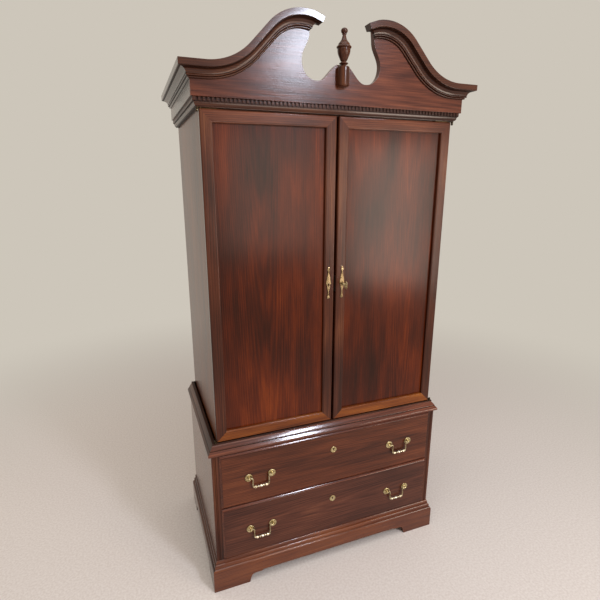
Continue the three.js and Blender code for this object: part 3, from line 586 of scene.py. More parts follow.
waist = {
    "overhang": 11, "inward": 90, "railBottom": 566, "waxShadeBands": [(597.775, 600.75), (617.75, 622.425)],
    "recessTop": 603, "recessBottom": 570, "recessBehind": 20,
}
slope = waist["overhang"] + case["lowerHalf"] - case["upperHalf"]
noseShares = [
    (0.72, 0), (0.93, 0.01), (0.985, 0.04), (1, 0.09), (1, 0.15), (0.993, 0.195), (0.968, 0.24),
    (0.925, 0.288), (0.877, 0.34), (0.829, 0.392), (0.79, 0.435),
]
quirkShares = [(0.765, 0.44), (0.738, 0.452), (0.735, 0.478), (0.765, 0.492)]
slantShares = [(0.751, 0.515), (0.695, 0.585), (0.627, 0.66), (0.56, 0.731), (0.502, 0.7905), (0.475, 0.814)]
filletShares = [
    (0.462, 0.822), (0.46, 0.838), (0.474, 0.86), (0.475, 0.93), (0.468, 0.96), (0.453, 0.985), (0.43, 1),
]
waistShares = smoothed(noseShares) + smoothed(quirkShares, 2) + smoothed(slantShares, 3)
waistShares += smoothed(filletShares, 2)
rise = case["waistTop"] - case["lowerCaseTop"]
waistProfile = [
    (waist["overhang"] - slope * (1 - out), case["lowerCaseTop"] + rise * up) for out, up in waistShares
]
waistProfile += [(-waist["inward"], case["waistTop"]), (-waist["inward"], case["lowerCaseTop"])]


# Old wax and painted shade are dark in the quirk over the nose, and a painted shadow of the doors is dark
# along the top, under the doors
def pickWaist(r, i):
    return 2 * inBands(waistProfile, i, waist["waxShadeBands"]) + pickRun(r, i)


ends = [rearEnd(-1, "lower"), cornerEnd(-1, "lower"), cornerEnd(1, "lower"), rearEnd(1, "lower")]
woods = [sheenWaistWood, shadedSideRail, waxShadeWood, waxShadeSideWood]
mould = mouldRun("waistMoulding", waistProfile, ends, woods, pickWaist)
inner, top = case["lowerHalf"] - case["board"], waist["recessTop"]
shoulder, rear = front(case["lowerDepth"] - case["stile"]), case["backY"]
behind = rear + waist["recessBehind"]
carve(mould, block("recess", -inner, inner, behind, shoulder, waist["recessBottom"], top))
place(settle(mould, bevel=0.3), "case", "wood", "waist_top")
board = block("waistTop", -inner, inner, rear, shoulder, top, case["waistTop"], [sheenWaistWood])
half, face = case["openingHalf"], front(case["lowerDepth"])
rail = block("waistRail", -half, half, shoulder, face, waist["railBottom"], top, [railWood])
for piece in (board, rail):
    place(settle(piece), "case", "wood")
print("waist made")

base = {
    "height": 126, "apron": 80, "overhang": 18, "beads": 3, "rise": 41, "reach": 56, "foot": 140,
    "sideFootFront": 110, "sideFootRear": 100, "cutReach": (5, 25),
}


def baseProfile():
    stepOut = base["overhang"] / base["beads"]
    stepDown = (base["height"] - base["apron"]) / base["beads"]
    groove = stepOut / 3
    points = []
    for i in range(base["beads"]):
        last = i == base["beads"] - 1
        low = base["height"] - stepDown * (i + 1)
        foot = low if last else low + groove * 2
        reach = stepOut if last else stepOut - groove / 2
        points += arc(stepOut * i, foot, reach, low + stepDown - foot, 90, 0, 8)
        if not last:
            points.append((stepOut * i + groove, low + groove))
    return points + [(base["overhang"], 0), (0, 0)]


def bracketCut(start, end):
    rise, reach, below = base["rise"], base["reach"], -base["cutReach"][0]
    bendShares = [(0, 0), (0.04, 0.28), (0.09, 0.52), (0.17, 0.72), (0.25, 0.83), (0.34, 0.88)]
    half = [*smoothed(bendShares), (0.86, 0.88), (1, 1)]
    left = [(start, below)] + [(start + reach * a, rise * u) for a, u in half]
    right = [(end, below)] + [(end - reach * a, rise * u) for a, u in half]
    return left + right[::-1]


outer = front(case["lowerDepth"] + base["overhang"])
footInner = case["lowerHalf"] + base["overhang"] - base["foot"]
near, far = base["cutReach"]
piece = mouldRun("baseFront", baseProfile(), [cornerEnd(-1, "lower"), cornerEnd(1, "lower")], [baseWood])
cutLoop = bracketCut(-footInner, footInner)
tool = loft("tool", [[(x, y, z) for x, z in cutLoop] for y in (outer - near, outer + far)], [])
place(settle(carve(piece, tool), bevel=0.5), "case", "wood", "base_front")
for side, word in sides:
    ends = [cornerEnd(side, "lower"), rearEnd(side, "lower")]
    piece = mouldRun(f"base_{word}Board", baseProfile(), ends, [shadedSideRail])
    cutLoop = bracketCut(outer + base["sideFootFront"], case["backY"] - base["sideFootRear"])
    across = [side * (case["lowerHalf"] + reach) for reach in (-near, far)]
    tool = loft("tool", [[(x, y, z) for y, z in cutLoop] for x in across], [])
    place(settle(carve(piece, tool), bevel=0.5), "case", "wood", f"base_{word}")
print("base made")

# Drawer fronts: a tongue in the opening, and a lipped face with a thumbnail edge

drawer = {
    "half": 448, "height": 220, "lip": 8.5, "tongue": 12, "proud": 10, "slide": 0.6, "gap": 0.3,
    "bottoms": {"lower": 130, "upper": 354.5}, "edgeRadius": 31, "edgeTurn": (46, 31), "edgeFoot": 3,
    "corner": (0.4, 0.6), "fillet": (0.5, 0.7, 0.1),
}
# How far a cutting tool stands out of the face that it cuts
toolProud = 4


# A circle over a slot that is half as wide as the circle and ends 2.4 radii below its middle
def keyholeLoop(x, z, radius):
    opening = math.degrees(math.asin(0.5))
    loop = arc(x, z, radius, radius, 270 + opening - 360, 270 - opening, 16)
    return loop + [(x - radius * 0.5, z - radius * 2.4), (x + radius * 0.5, z - radius * 2.4)]


def keyholeTool(x, z, radius, face, depth):
    loop = keyholeLoop(x, z, radius)
    return loft("tool", [[(a, front(d), b) for a, b in loop] for d in (face - depth, face + toolProud)], [])


def drawerFront(level):
    bottom = drawer["bottoms"][level]
    depth, proud = case["lowerDepth"], drawer["proud"]
    tongue, foot, radius = drawer["lip"] + drawer["slide"], depth + drawer["edgeFoot"], drawer["edgeRadius"]
    (outerTurn, innerTurn), (cornerIn, cornerDown) = drawer["edgeTurn"], drawer["corner"]
    rows = [(tongue, depth - drawer["tongue"]), (tongue, depth + drawer["gap"]), (0, depth + drawer["gap"])]
    rows.append((0, foot - cornerDown))
    turns = [math.radians(outerTurn + (innerTurn - outerTurn) * step / 8) for step in range(9)]
    for turn in turns:
        inset = cornerIn + radius * (math.sin(turns[0]) - math.sin(turn))
        rows.append((inset, foot + radius * (math.cos(turn) - math.cos(turns[0]))))
    inset, out = rows[-1]
    start, stop, rise = drawer["fillet"]
    rows += [(inset + start, out + rise), (inset + stop, depth + proud)]
    rings = []
    for inset, d in rows:
        x, low, high = drawer["half"] - inset, bottom + inset, bottom + drawer["height"] - inset
        rings.append([(-x, front(d), low), (x, front(d), low), (x, front(d), high), (-x, front(d), high)])
    edgeRows = range(3, len(rows) - 2)
    woods = [drawerWoods[level], sheenEdgeWood]
    piece = loft(f"drawerFront_{level}", rings, woods, lambda r, i: int(r in edgeRows))
    radius = escutcheon["keyhole"]
    line = pullLine(level) + escutcheon["rise"] + radius
    tool = keyholeTool(0, line, radius, depth + proud, escutcheon["pocket"])
    place(settle(carve(piece, tool), bevel=0.25), f"drawer_{level}", "wood", f"drawer_{level}_front")


# Bail pulls: a turned rosette and post at each end of a swan-necked bail

pull = {
    "x": 299, "rise": 1.5, "post": 44.45, "rosette": 15, "thickness": 3.4, "head": 4.7, "neck": 3.4,
    "standOff": 10, "drop": 38, "wire": 2.75, "pin": 2, "face": 565, "hollow": 3.9, "swell": 5.4,
}


# The height of a drawer's pulls
def pullLine(level):
    return drawer["bottoms"][level] + drawer["height"] / 2 + pull["rise"]


def postRod(x, z):
    r, t, head = pull["rosette"], pull["thickness"], pull["head"]
    rim = [(r * 0.97, 0.3), (r, t * 0.3), (r * 0.985, t * 0.7), (r * 0.93, t * 0.95), (r * 0.86, t)]
    dish = [(r * 0.79, t * 0.92), (r * 0.73, t * 0.62), (r * 0.6, t * 0.36), (r * 0.46, t * 0.42)]
    dish.append((r * 0.4, t * 0.8))
    stem = [(pull["neck"] * 1.1, t * 1.15), (pull["neck"], t * 1.4)]
    ball = arc(0, pull["standOff"], head, head, -45, 90, 10)
    profile = [(0, 0.3)] + smoothed(rim, 3) + smoothed(dish, 3) + stem + ball
    return [(x, front(pull["face"]) - out, z, radius) for radius, out in profile]


def bailPath(x, z):
    half, drop, wire = pull["post"], pull["drop"], pull["wire"]
    armShares = [
        (0.86, 0, 1), (0.78, 0, 1.05), (0.73, -0.03, 1.15), (0.7, -0.1, 1.1), (0.69, -0.2, 1),
        (0.7, -0.38, 0.9), (0.705, -0.58, 0.95), (0.69, -0.78, 1.1), (0.65, -0.92, 1.35), (0.59, -0.99, 1.5),
    ]
    bulbShares = [
        (0.565, 1.35), (0.55, 1.55), (0.52, 1.8), (0.46, 1.88), (0.4, 1.8), (0.37, 1.5), (0.355, 1.1),
        (0.3, 0.95), (0.255, 1.05), (0.245, 1.5), (0.22, 1.6), (0.195, 1.5), (0.185, 1.05), (0.14, 0.95),
        (0.125, 1.1), (0.11, 1.5), (0.075, 1.8), (0, 1.88),
    ]
    y = front(pull["face"] + pull["standOff"])
    halfPath = [(-half - 1, 0, pull["pin"])]
    halfPath += [(-half * a, drop * d, wire * s) for a, d, s in smoothed(armShares)]
    halfPath += [(-half * a, -drop, wire * s) for a, s in smoothed(bulbShares, 3)]
    path = halfPath + [(-a, d, r) for a, d, r in halfPath[-2::-1]]
    return [(x + a, y, z + d, r) for a, d, r in path]


# 1 on the swells of a bail's bar, which the hand keeps bright and whose near-white tone also paints their
# highlights, and 0 on the rest
def onSwell(place, line):
    y, z = front(pull["face"] + pull["standOff"]), line - pull["drop"]
    reach = math.hypot(place.y / mm - y, place.z / mm - z)
    return int(pull["hollow"] < reach < pull["swell"])


# A round keyhole plate with a raised rim, and two pins

escutcheon = {
    "rise": 38, "radius": 12.5, "thickness": 2, "keyhole": 3.2, "pocket": 10,
    "pin": [(0, 1), (0.25, 0.95), (0.45, 0.7), (0.55, 0.3)],
}


def escutcheonPiece(level):
    r, t, face = escutcheon["radius"], escutcheon["thickness"], pull["face"] + drawer["gap"]
    z, hole = pullLine(level) + escutcheon["rise"], escutcheon["keyhole"]
    loops = [arc(0, z, r, r, 0, 355, 71), keyholeLoop(0, z + hole, hole)]
    flat = outlineBoard(f"escutcheon_{level}", loops, face, face + t * 0.6, brass, ease=0.25)
    ring = [(r * 0.99, t * 0.3), (r * 0.99, t * 0.75), (r * 0.93, t), (r * 0.84, t * 0.92)]
    ring = smoothed([*ring, (r * 0.78, t * 0.5)], 3)
    turns = [2 * math.pi * step / 64 for step in range(64)]
    rings = [[(q * math.cos(a), front(face + out), z + q * math.sin(a)) for q, out in ring] for a in turns]
    parts = [flat, loft("rim", rings, [brass], closed=True)]
    for side, word in sides:
        pin = [(side * r * 0.66, front(face + t * 0.5 + out), z, q) for out, q in escutcheon["pin"]]
        parts.append(turnedRod("pin", pin, brass, 12))
    piece = joinPieces(f"escutcheonPlate_{level}", *parts)
    place(piece, f"drawer_{level}", "brass", f"drawer_{level}_escutcheon")


for level in levels:
    line = pullLine(level)
    drawerFront(level)
    escutcheonPiece(level)
    for side, word in sides:
        for end, endWord in sides:
            x = side * pull["x"] + end * pull["post"]
            rod = turnedRod(f"post_{level}_{word}_{endWord}", postRod(x, line), brass, 36)
            place(rod, f"drawer_{level}", "brass", f"pull_{level}_{word}_post_{endWord}")
        bail = turnedRod(f"bail_{level}_{word}", bailPath(side * pull["x"], line), bailBrass, 20, sharp=60)
        bail.data.materials.append(glintGripBrass)
        faces = bail.data.polygons
        faces.foreach_set("material_index", [onSwell(face.center, line) for face in faces])
        place(bail, f"bail_{level}_{word}", "brass", f"pull_{level}_{word}_bail")
print("drawers made")

# Doors: mitred frames with a round outer edge and a moulded inner edge, round a flat panel

door = {
    "sideGap": 4, "depth": 527, "thickness": 20, "frame": 38, "round": 5, "recess": 11, "tongue": 8,
    "mould": 3.6, "step": 0.8, "stepOuter": 1.2, "stepDepth": 0.9,
}
# The keyhole goes deeper into the right door, where the lock and the key are
lock = {
    "plateX": 26.5, "line": 1166.5, "middle": 537, "depth": 29, "height": 58, "thickness": 10,
    "boltHeight": 20, "boltThickness": 5, "strikeReach": 12, "slack": 2, "gap": 0.3, "margin": 5,
    "way": 3.2, "wayDepth": (6, 19),
}


def doorFrame(side, word):
    depth, face = door["depth"], door["depth"] + door["thickness"]
    width, mould, radius = door["frame"], door["mould"], door["round"]
    step, foot = width - mould - door["step"], face - door["stepDepth"]
    rows = [(0, depth), *arc(radius, face - radius, radius, radius, 180, 90, 8)]
    rows += [(width - mould - door["stepOuter"], face), (step, foot)]
    rows += arc(step, foot - mould, mould + door["step"], mould, 90, 0, 6)
    rows += [(width, face - door["recess"]), (width - door["tongue"], face - door["recess"])]
    rows += [(width - door["tongue"], depth)]
    rings = []
    for inset, depth in rows:
        a, b = side * (door["sideGap"] + inset), side * (case["upperHalf"] - inset)
        low, high = case["doorBottom"] + inset, case["doorTop"] - inset
        rings.append([(x, front(depth), z) for x, z in ((a, low), (b, low), (b, high), (a, high))])
    woods = [railWood, stileWood, lowRailWood]
    piece = loft(f"doorFrame_{word}", rings, woods, lambda r, i: (2, 1, 0, 1)[i], closed=True)
    line, middle = lock["line"], lock["middle"]
    if side < 0:
        height, thick = lock["boltHeight"] + lock["slack"], lock["boltThickness"] + lock["slack"]
        x0, x1 = -lock["strikeReach"], lock["margin"]
    else:
        height, thick = lock["height"] + 2 * lock["gap"], lock["thickness"] + 2 * lock["gap"]
        x0, x1 = -lock["margin"], door["sideGap"] + lock["depth"] + lock["gap"]
    y0, y1 = front(middle - thick / 2), front(middle + thick / 2)
    pocket = block("tool", x0, x1, y0, y1, line - height / 2, line + height / 2)
    way = keyholeTool(side * lock["plateX"], line, lock["way"], face, lock["wayDepth"][side > 0])
    place(settle(carve(piece, pocket, way), bevel=0.3), f"door_{word}", "wood", f"door_{word}_frame")


plate = {"height": 115, "centre": 1172.5, "thickness": 2.5, "ball": 4.2}
plateShares = [
    (0.06, 0.86), (0.085, 0.815), (0.085, 0.775), (0.045, 0.74), (0.045, 0.6), (0.08, 0.42), (0.115, 0.34),
    (0.11, 0.26), (0.16, 0.06), (0.16, -0.04), (0.105, -0.15), (0.085, -0.22), (0.1, -0.28), (0.09, -0.36),
    (0.045, -0.48), (0.035, -0.62), (0.05, -0.76), (0.095, -0.88), (0.095, -0.94), (0.06, -1),
]


def doorPlate(side, word):
    half, ball, x = plate["height"] / 2, plate["ball"], side * lock["plateX"]
    face = door["depth"] + door["thickness"] + lock["gap"]
    edge = [(half * a, plate["centre"] + half * b) for a, b in smoothed(plateShares, 3)]
    cap = arc(0, plate["centre"] + half - ball, ball, ball, 225, -45, 12)
    loop = [(x + a, b) for a, b in cap + edge] + [(x - a, b) for a, b in edge[::-1]]
    loops = [loop, keyholeLoop(x, lock["line"], lock["way"])]
    parts = [outlineBoard("plate", loops, face, face + plate["thickness"], plateBrass, ease=0.8)]
    for up, size in ((half - ball, ball * 0.72), (half * 0.795, ball * 0.55), (-half * 0.9, ball * 0.6)):
        dome = arc(0, face + plate["thickness"] * 0.62, size, size * 0.5, 0, 90, 6)
        boss = [(x, front(d), plate["centre"] + up, q) for q, d in dome]
        parts.append(turnedRod("boss", boss, plateBrass, 16))
    place(joinPieces(f"doorPlate_{word}", *parts), f"door_{word}", "brass", f"door_{word}_plate")


key = {
    "radius": 2.6, "reach": 34, "height": 30, "width": 19, "thickness": 3.2, "collar": 4.2, "wire": 1.9,
    "dent": 0.14, "steps": 72, "wireSteps": 14,
}


# A shank with collars, an oval bow of flattened wire that is dented where its bar meets it, and the bar
def doorKey():
    tip, centre = lock["middle"] - lock["boltThickness"] / 2, door["depth"] + door["thickness"] + key["reach"]
    wide, high, thick = key["width"] / 2, key["height"] / 2, key["thickness"] / 2
    end, x, z = centre - wide, lock["plateX"], lock["line"]
    c, r, wire = key["collar"], key["radius"], key["wire"]
    outline = [(tip, r * 0.9), (tip + 0.3, r), (end - 6, r), (end - 5.6, c * 0.8), (end - 4.6, c)]
    outline += [(end - 3.6, c * 0.8), (end - 3.2, r), (end - 1.6, r * 1.1), (end - 1, c * 0.95)]
    outline += [(end, c * 0.9), (end + 1.4, r * 0.8)]
    shank = turnedRod("shank", [(x, front(d), z, q) for d, q in outline], brass, 24)
    rings = []
    for step in range(key["steps"]):
        a = 2 * math.pi * step / key["steps"]
        dent = 1 - key["dent"] * math.cos(2 * a) ** 8 * (abs(math.cos(a)) > 0.7)
        along, up = centre + (wide - wire) * math.cos(a) * dent, z + (high - wire) * math.sin(a)
        out = Vector((math.cos(a) * (high - wire), math.sin(a) * (wide - wire))).normalized()
        rings.append([])
        for turn in range(key["wireSteps"]):
            b = 2 * math.pi * turn / key["wireSteps"]
            y = front(along + out.x * wire * math.cos(b))
            rings[-1].append((x + thick * math.sin(b), y, up + out.y * wire * math.cos(b)))
    bow = loft("bow", rings, [brass], closed=True)
    outline = [(end + 1, 1.5), (end + 3.5, 1.2), (end + 6.5, 2.2), (centre, 2.6), (centre + 3, 2.2)]
    outline += [(centre + 6, 1.2), (centre + wide - 1.5, 1.5)]
    bar = turnedRod("bar", [(x, front(d), z, q) for d, q in smoothed(outline, 3)], brass, 16)
    place(joinPieces("keyPiece", shank, bow, bar), "door_key", "brass", "door_key")


hinge = {
    "out": 5, "behind": 1, "leaf": 2.2, "length": 60, "width": 9, "arm": 7, "turn": 4,
    "radius": 4, "barrel": 13,
}
barrelShares = [
    (0, 0.94), (0.04, 1), (0.46, 1), (0.48, 0.86), (0.52, 0.86), (0.54, 1), (0.86, 1), (0.9, 0.9),
    (0.93, 0.55), (0.95, 0.62), (0.97, 0.66), (1, 0.4),
]


def hingePiece(side, word, way, end):
    near, corner = case["upperDepth"], case["upperHalf"]
    pivot = door["depth"] + door["thickness"] - hinge["behind"]
    seat = case["dentilBottom"] if way > 0 else case["waistTop"]
    inner, bend, x = (side * (corner - reach) for reach in (hinge["length"], hinge["arm"], -hinge["out"]))
    flat, turned = near + hinge["width"], bend + side * hinge["turn"]
    outline = [(inner, near), (inner, flat), (bend, flat), (turned, flat + hinge["turn"]), (turned, pivot)]
    outline += [(x, pivot), (x, near)]
    heights = (seat - way * hinge["leaf"], seat)
    leaf = loft("leaf", [[(a, front(d), z) for a, d in outline] for z in heights], [shadedHingeBrass])
    length, radius = way * hinge["barrel"], hinge["radius"]
    rod = [(x, front(pivot), seat - length * up, radius * q) for up, q in barrelShares]
    piece = joinPieces(f"hinge_{word}_{end}Leaf", leaf, turnedRod("barrel", rod, brass, 28))
    place(piece, "case", "brass", f"hinge_{word}_{end}")


for side, word in sides:
    doorFrame(side, word)
    doorPlate(side, word)
    for way, end in ((1, "top"), (-1, "bottom")):
        hingePiece(side, word, way, end)
doorKey()
print("doors made")

# The bed moulding round the top of the case, and its dentils along the front

bed = {
    "setBack": 5, "cut": 3, "length": 10.5, "lip": 8, "foot": 16, "edge": 1.5, "pitch": 13, "gap": 6.2,
    "back": 34, "ogeeEnd": 9,
}
bedInner = case["upperHalf"] - case["friezeHalf"]


def bedProfile():
    top, bottom = case["friezeBottom"], case["dentilBottom"]
    lipTop = top - bed["length"] - bed["edge"]
    bedTop = lipTop - bed["edge"]
    run, rise = bed["foot"] - bed["lip"] - bed["edge"], bedTop - bottom - bed["edge"]
    points = [(-bed["setBack"], top), (-bed["setBack"], lipTop), (-bed["lip"], lipTop), (-bed["lip"], bedTop)]
    points += arc(-bed["foot"], bedTop, run, rise, 0, -90, 8)
    points += [(-bed["foot"], bottom), (-bed["back"], bottom), (-bed["back"], top)]
    return [(max(p, bedInner), z) for p, z in points]


def bedEnd(side, y=None):
    def end(p, z):
        inner = case["friezeDepth"] - case["upperDepth"]
        depth = {-bed["setBack"]: -bed["setBack"] - bed["cut"], bedInner: -inner}.get(p, p)
        return (side * (case["friezeHalf"] + p), front(case["friezeDepth"] + depth) if y is None else y, z)

    return end


# Old wax and painted shade are dark behind the dentils, in the step below them and, at the sides, along the
# foot
def pickBed(r, i):
    if r == 1:
        return 2 if i < 3 else 0
    if i == 0:
        return 1
    return 3 if i < 4 or i > bed["ogeeEnd"] else 4


ends = [bedEnd(-1, case["backY"]), bedEnd(-1), bedEnd(1), bedEnd(1, case["backY"])]
woods = [crownWood, bedSide, waxShadeWood, waxShadeSideWood, ogeeSide]
bedBoard = settle(mouldRun("bedBoard", bedProfile(), ends, woods, pickBed), bevel=0.25)
place(bedBoard, "case", "wood", "dentil_band")

toothTree, toothIds, toothIn = startTree(
    "dentilTeeth", ("Tooth", "NodeSocketObject"), ("Count", "NodeSocketInt"), ("Start", "NodeSocketVector"),
    ("Pitch", "NodeSocketVector"), ("Finish", "NodeSocketMaterial"),
)
lineInputs = {"Count": toothIn["Count"], "Start Location": toothIn["Start"], "Offset": toothIn["Pitch"]}
line = addNode(toothTree, "GeometryNodeMeshLine", lineInputs)
tooth = addNode(toothTree, "GeometryNodeObjectInfo", {"Object": toothIn["Tooth"]}).outputs["Geometry"]
teeth = addNode(toothTree, "GeometryNodeInstanceOnPoints", {"Points": line, "Instance": tooth})
endTree(toothTree, teeth, toothIn["Finish"])

pairs = int((case["friezeHalf"] - bed["setBack"] - bed["gap"]) / bed["pitch"])
wide, high, deep = (bed["pitch"] - bed["gap"]) / 2, bed["length"], bed["cut"]
tooth = settle(block("tooth", -wide, wide, -deep, 0, -high, 0, [toothWood]), bevel=0.5)
holder = block("teeth", -1, 1, -1, 1, -1, 1)
y0 = front(case["friezeDepth"] - bed["setBack"] - deep)
start = Vector((bed["pitch"] * (0.5 - pairs), y0, case["friezeBottom"]))
values = {"Tooth": tooth, "Count": 2 * pairs, "Start": start * mm, "Pitch": (bed["pitch"] * mm, 0, 0)}
teeth = useTree(holder, toothTree, toothIds, Finish=toothWood, **values)
bpy.data.objects.remove(tooth)
edge, first = case["friezeHalf"] - bed["setBack"], pairs * bed["pitch"] + bed["gap"] / 2
corners = []
for side, word in sides:
    x0, x1, z = side * first, side * edge, case["friezeBottom"]
    corners.append(settle(block("corner", x0, x1, y0 - deep, y0, z - high, z, [toothWood]), bevel=0.5))
place(joinPieces("dentils", settle(teeth), *corners), "case", "wood")
print("dentils made")

# The crown: a swan-neck arch on each side over a scrolled board, and straight returns to the back

crown = {
    "overhang": 33, "height": 45, "fascia": 18.5, "fillet": 1, "lip": 6, "beadTop": 33.6, "rise": 158.85,
    "edge": 1.6, "coveEnd": 10.5, "peakOffset": 139, "peakRadius": 150, "sweepRadius": 180,
    "neck": 46.5, "tip": 13,
    "waxShadeBands": [(18.48, 22.5), (33.4, 34.4), (38.5, 39.8), (43.95, 45)],
    "sideWaxShadeBands": [(18.48, 19.7), (32.6, 34.6), (38.2, 40.2), (44.4, 45)],
}


def crownStations(sweepSteps, peakSteps):
    neck, tip = math.radians(crown["neck"]), math.radians(crown["tip"])
    reach = crown["peakRadius"] + crown["sweepRadius"]
    neckDrop = crown["rise"] - reach * (1 - math.cos(neck))
    sweepX = crown["peakOffset"] + reach * math.sin(neck) + neckDrop / math.tan(neck)
    made = []
    for i in range(sweepSteps + 1):
        a = neck * i / sweepSteps
        z = case["capTop"] + crown["sweepRadius"] * (1 - math.cos(a))
        made.append((sweepX - crown["sweepRadius"] * math.sin(a), z, a))
    for i in range(peakSteps + 1):
        a = neck - (neck + tip) * i / peakSteps
        z = case["capTop"] + crown["rise"] - crown["peakRadius"] * (1 - math.cos(a))
        made.append((crown["peakOffset"] + crown["peakRadius"] * math.sin(a), z, a))
    return made


def underCap(station, drop):
    x, z, a = station
    return x - drop * math.sin(a), z - drop * math.cos(a)


def crownProfile():
    over, top, height, fascia, r = (crown[k] for k in ("overhang", "beadTop", "height", "fascia", "edge"))
    coveX, coveTop = over - crown["lip"], fascia + crown["fillet"]
    edge = arc(over - r, fascia - r, r, r, 0, 90, 4)
    cove = arc(coveX, top, coveX - crown["coveEnd"], top - coveTop, -90, -180, 12)
    beads = [(9, top + 0.1), *arc(7.2, top + 2.7, 3.6, 2.5, -75, 85, 8), (6, top + 5.5)]
    beads += [*arc(3.2, top + 8.1, 3.1, 2.4, -65, 85, 8), (1.4, height - 0.6)]
    return [(0, 0), (over, 0), *edge, (coveX, fascia), *cove, *beads, (0, height)]


profile = crownProfile()


# Old wax and painted shade are dark in each quirk
def pickArch(r, i):
    return int(inBands(profile, i, crown["waxShadeBands"]))


def pickReturn(r, i):
    return int(inBands(profile, i, crown["sideWaxShadeBands"]))


stations = crownStations(24, 40)
peakZ = case["capTop"] + crown["rise"] - crown["peakRadius"]
for side, word in sides:
    corner, rear = (
        [end(p, case["capTop"] - drop) for p, drop in profile]
        for end in (cornerEnd(side, "frieze"), rearEnd(side, "frieze"))
    )
    rings = [corner]
    for station in stations:
        places = [(p, *underCap(station, drop)) for p, drop in profile]
        rings.append([(side * x, front(case["friezeDepth"] + p), z) for p, x, z in places])
    # The scroll's end returns to the board at right angles to the arch
    for proud in (1, 0):
        rings.append([])
        for p, drop in profile:
            a = math.radians(crown["tip"]) + p / crown["peakRadius"]
            r = crown["peakRadius"] - drop
            x, z = crown["peakOffset"] - r * math.sin(a), peakZ + r * math.cos(a)
            rings[-1].append((side * x, front(case["friezeDepth"] + p * proud), z))
    arch = loft(f"crownArch_{word}", rings, [crownWood, waxShadeWood], pickArch)
    place(settle(arch, bevel=0.3), "case", "wood", f"crown_arch_{word}")
    straight = loft(f"crownReturn_{word}", [corner, rear], [shadedSideRail, waxShadeSideWood], pickReturn)
    place(settle(straight, bevel=0.3), "case", "wood", f"crown_return_{word}")
print("crown made")

scroll = {
    "neck": 111, "bulge": 136, "bottom": 85, "peak": 20, "thickness": 22, "drop": 1,
    "rises": {"neck": 197, "bulge": 122, "bottom": 66, "peak": 116},
}


def bezier(a, b, c, d, steps=18):
    made = []
    for i in range(1, steps + 1):
        t = i / steps
        made.append(tuple(
            (1 - t) ** 3 * p + 3 * (1 - t) ** 2 * t * q + 3 * (1 - t) * t * t * r + t**3 * s
            for p, q, r, s in zip(a, b, c, d)
        ))
    return made


def pedimentLoop():
    neck, bulge, bottom, peak = (scroll[k] for k in scroll["rises"])
    neckZ, bulgeZ, bottomZ, peakZ = (case["friezeBottom"] + rise for rise in scroll["rises"].values())
    upperPull, lowerPull = (neckZ - bulgeZ) * 0.38, (bulgeZ - bottomZ) * 0.59
    bottomPull, peakPull, peakFall = (bulge - bottom) * 0.59, (bottom - peak) * 0.41, (peakZ - bottomZ) * 0.41
    half = [(case["friezeHalf"], case["friezeBottom"]), (case["friezeHalf"], case["capTop"] - scroll["drop"])]
    half += [underCap(station, scroll["drop"]) for station in crownStations(16, 30)]
    half.append((neck, neckZ))
    for before, after, stop in (
        ((neck, neckZ - upperPull), (bulge, bulgeZ + upperPull), (bulge, bulgeZ)),
        ((bulge, bulgeZ - lowerPull), (bottom + bottomPull, bottomZ), (bottom, bottomZ)),
        ((bottom - peakPull, bottomZ), (peak + peakPull, peakZ - peakFall), (peak, peakZ)),
    ):
        half += bezier(half[-1], before, after, stop)
    return half + [(-x, z) for x, z in half[::-1]]


depth1 = case["friezeDepth"]
rear = depth1 - scroll["thickness"]
board = outlineBoard("pedimentBoard", [pedimentLoop()], rear, depth1, boardWood, ease=0.5)
place(board, "case", "wood", "pediment_board")

finial = {
    "height": 167, "radius": 23.4, "foot": 51, "proud": 9.5, "gap": 0.3, "rings": (0.45, 0.3), "cut": 0.4,
}
finialShares = [
    [(0, 0), (0.47, 0.003), (0.68, 0.012), (0.79, 0.03), (0.81, 0.048)],
    [(0.81, 0.05), (0.815, 0.18), (0.81, 0.323), (0.78, 0.342), (0.7, 0.352), (0.5, 0.358), (0.34, 0.362)],
    [(0.3, 0.37), (0.3, 0.38), (0.385, 0.39)],
    [(0.5, 0.392), (0.577, 0.399), (0.6, 0.406), (0.577, 0.413), (0.5, 0.419)],
    [(0.385, 0.425), (0.342, 0.437), (0.47, 0.461), (0.64, 0.515), (0.78, 0.56), (0.85, 0.6), (0.875, 0.641)],
    [(0.85, 0.65), (0.855, 0.659)],
    [(0.95, 0.663), (0.99, 0.672), (1, 0.68), (0.97, 0.69), (0.88, 0.7)],
    [(0.812, 0.707), (0.748, 0.737), (0.556, 0.769), (0.385, 0.802), (0.278, 0.844), (0.214, 0.886)],
    [(0.3, 0.892), (0.32, 0.897), (0.3, 0.902), (0.24, 0.905)],
    [(0.3, 0.909), (0.41, 0.925), (0.449, 0.946), (0.43, 0.966), (0.34, 0.984), (0.2, 0.996), (0, 1)],
]
foot = case["friezeBottom"] + finial["foot"]
boardTop = case["friezeBottom"] + scroll["rises"]["peak"]
y, seat = front(case["friezeDepth"] + finial["proud"]), front(case["friezeDepth"]) - finial["gap"]
shape = [pair for part in finialShares for pair in smoothed(part, 3)]
path = [(0, y, foot + finial["height"] * up, finial["radius"] * out) for out, up in shape]
upper = next(i for i, p in enumerate(path) if p[2] > boardTop)
for up in finial["rings"]:
    path.insert(upper, (0, y, boardTop + up, path[upper][3]))
# Below the board's top, the finial's back is flat against the board. The two rings keep that step sharp
turned = turnedRod("finialTurned", path, turnedWood, 48)
for vertex in turned.data.vertices:
    if vertex.co.z < (boardTop + finial["cut"]) * mm:
        vertex.co.y = min(vertex.co.y, seat * mm)
place(settle(turned), "case", "wood", "finial")
print("pediment made")

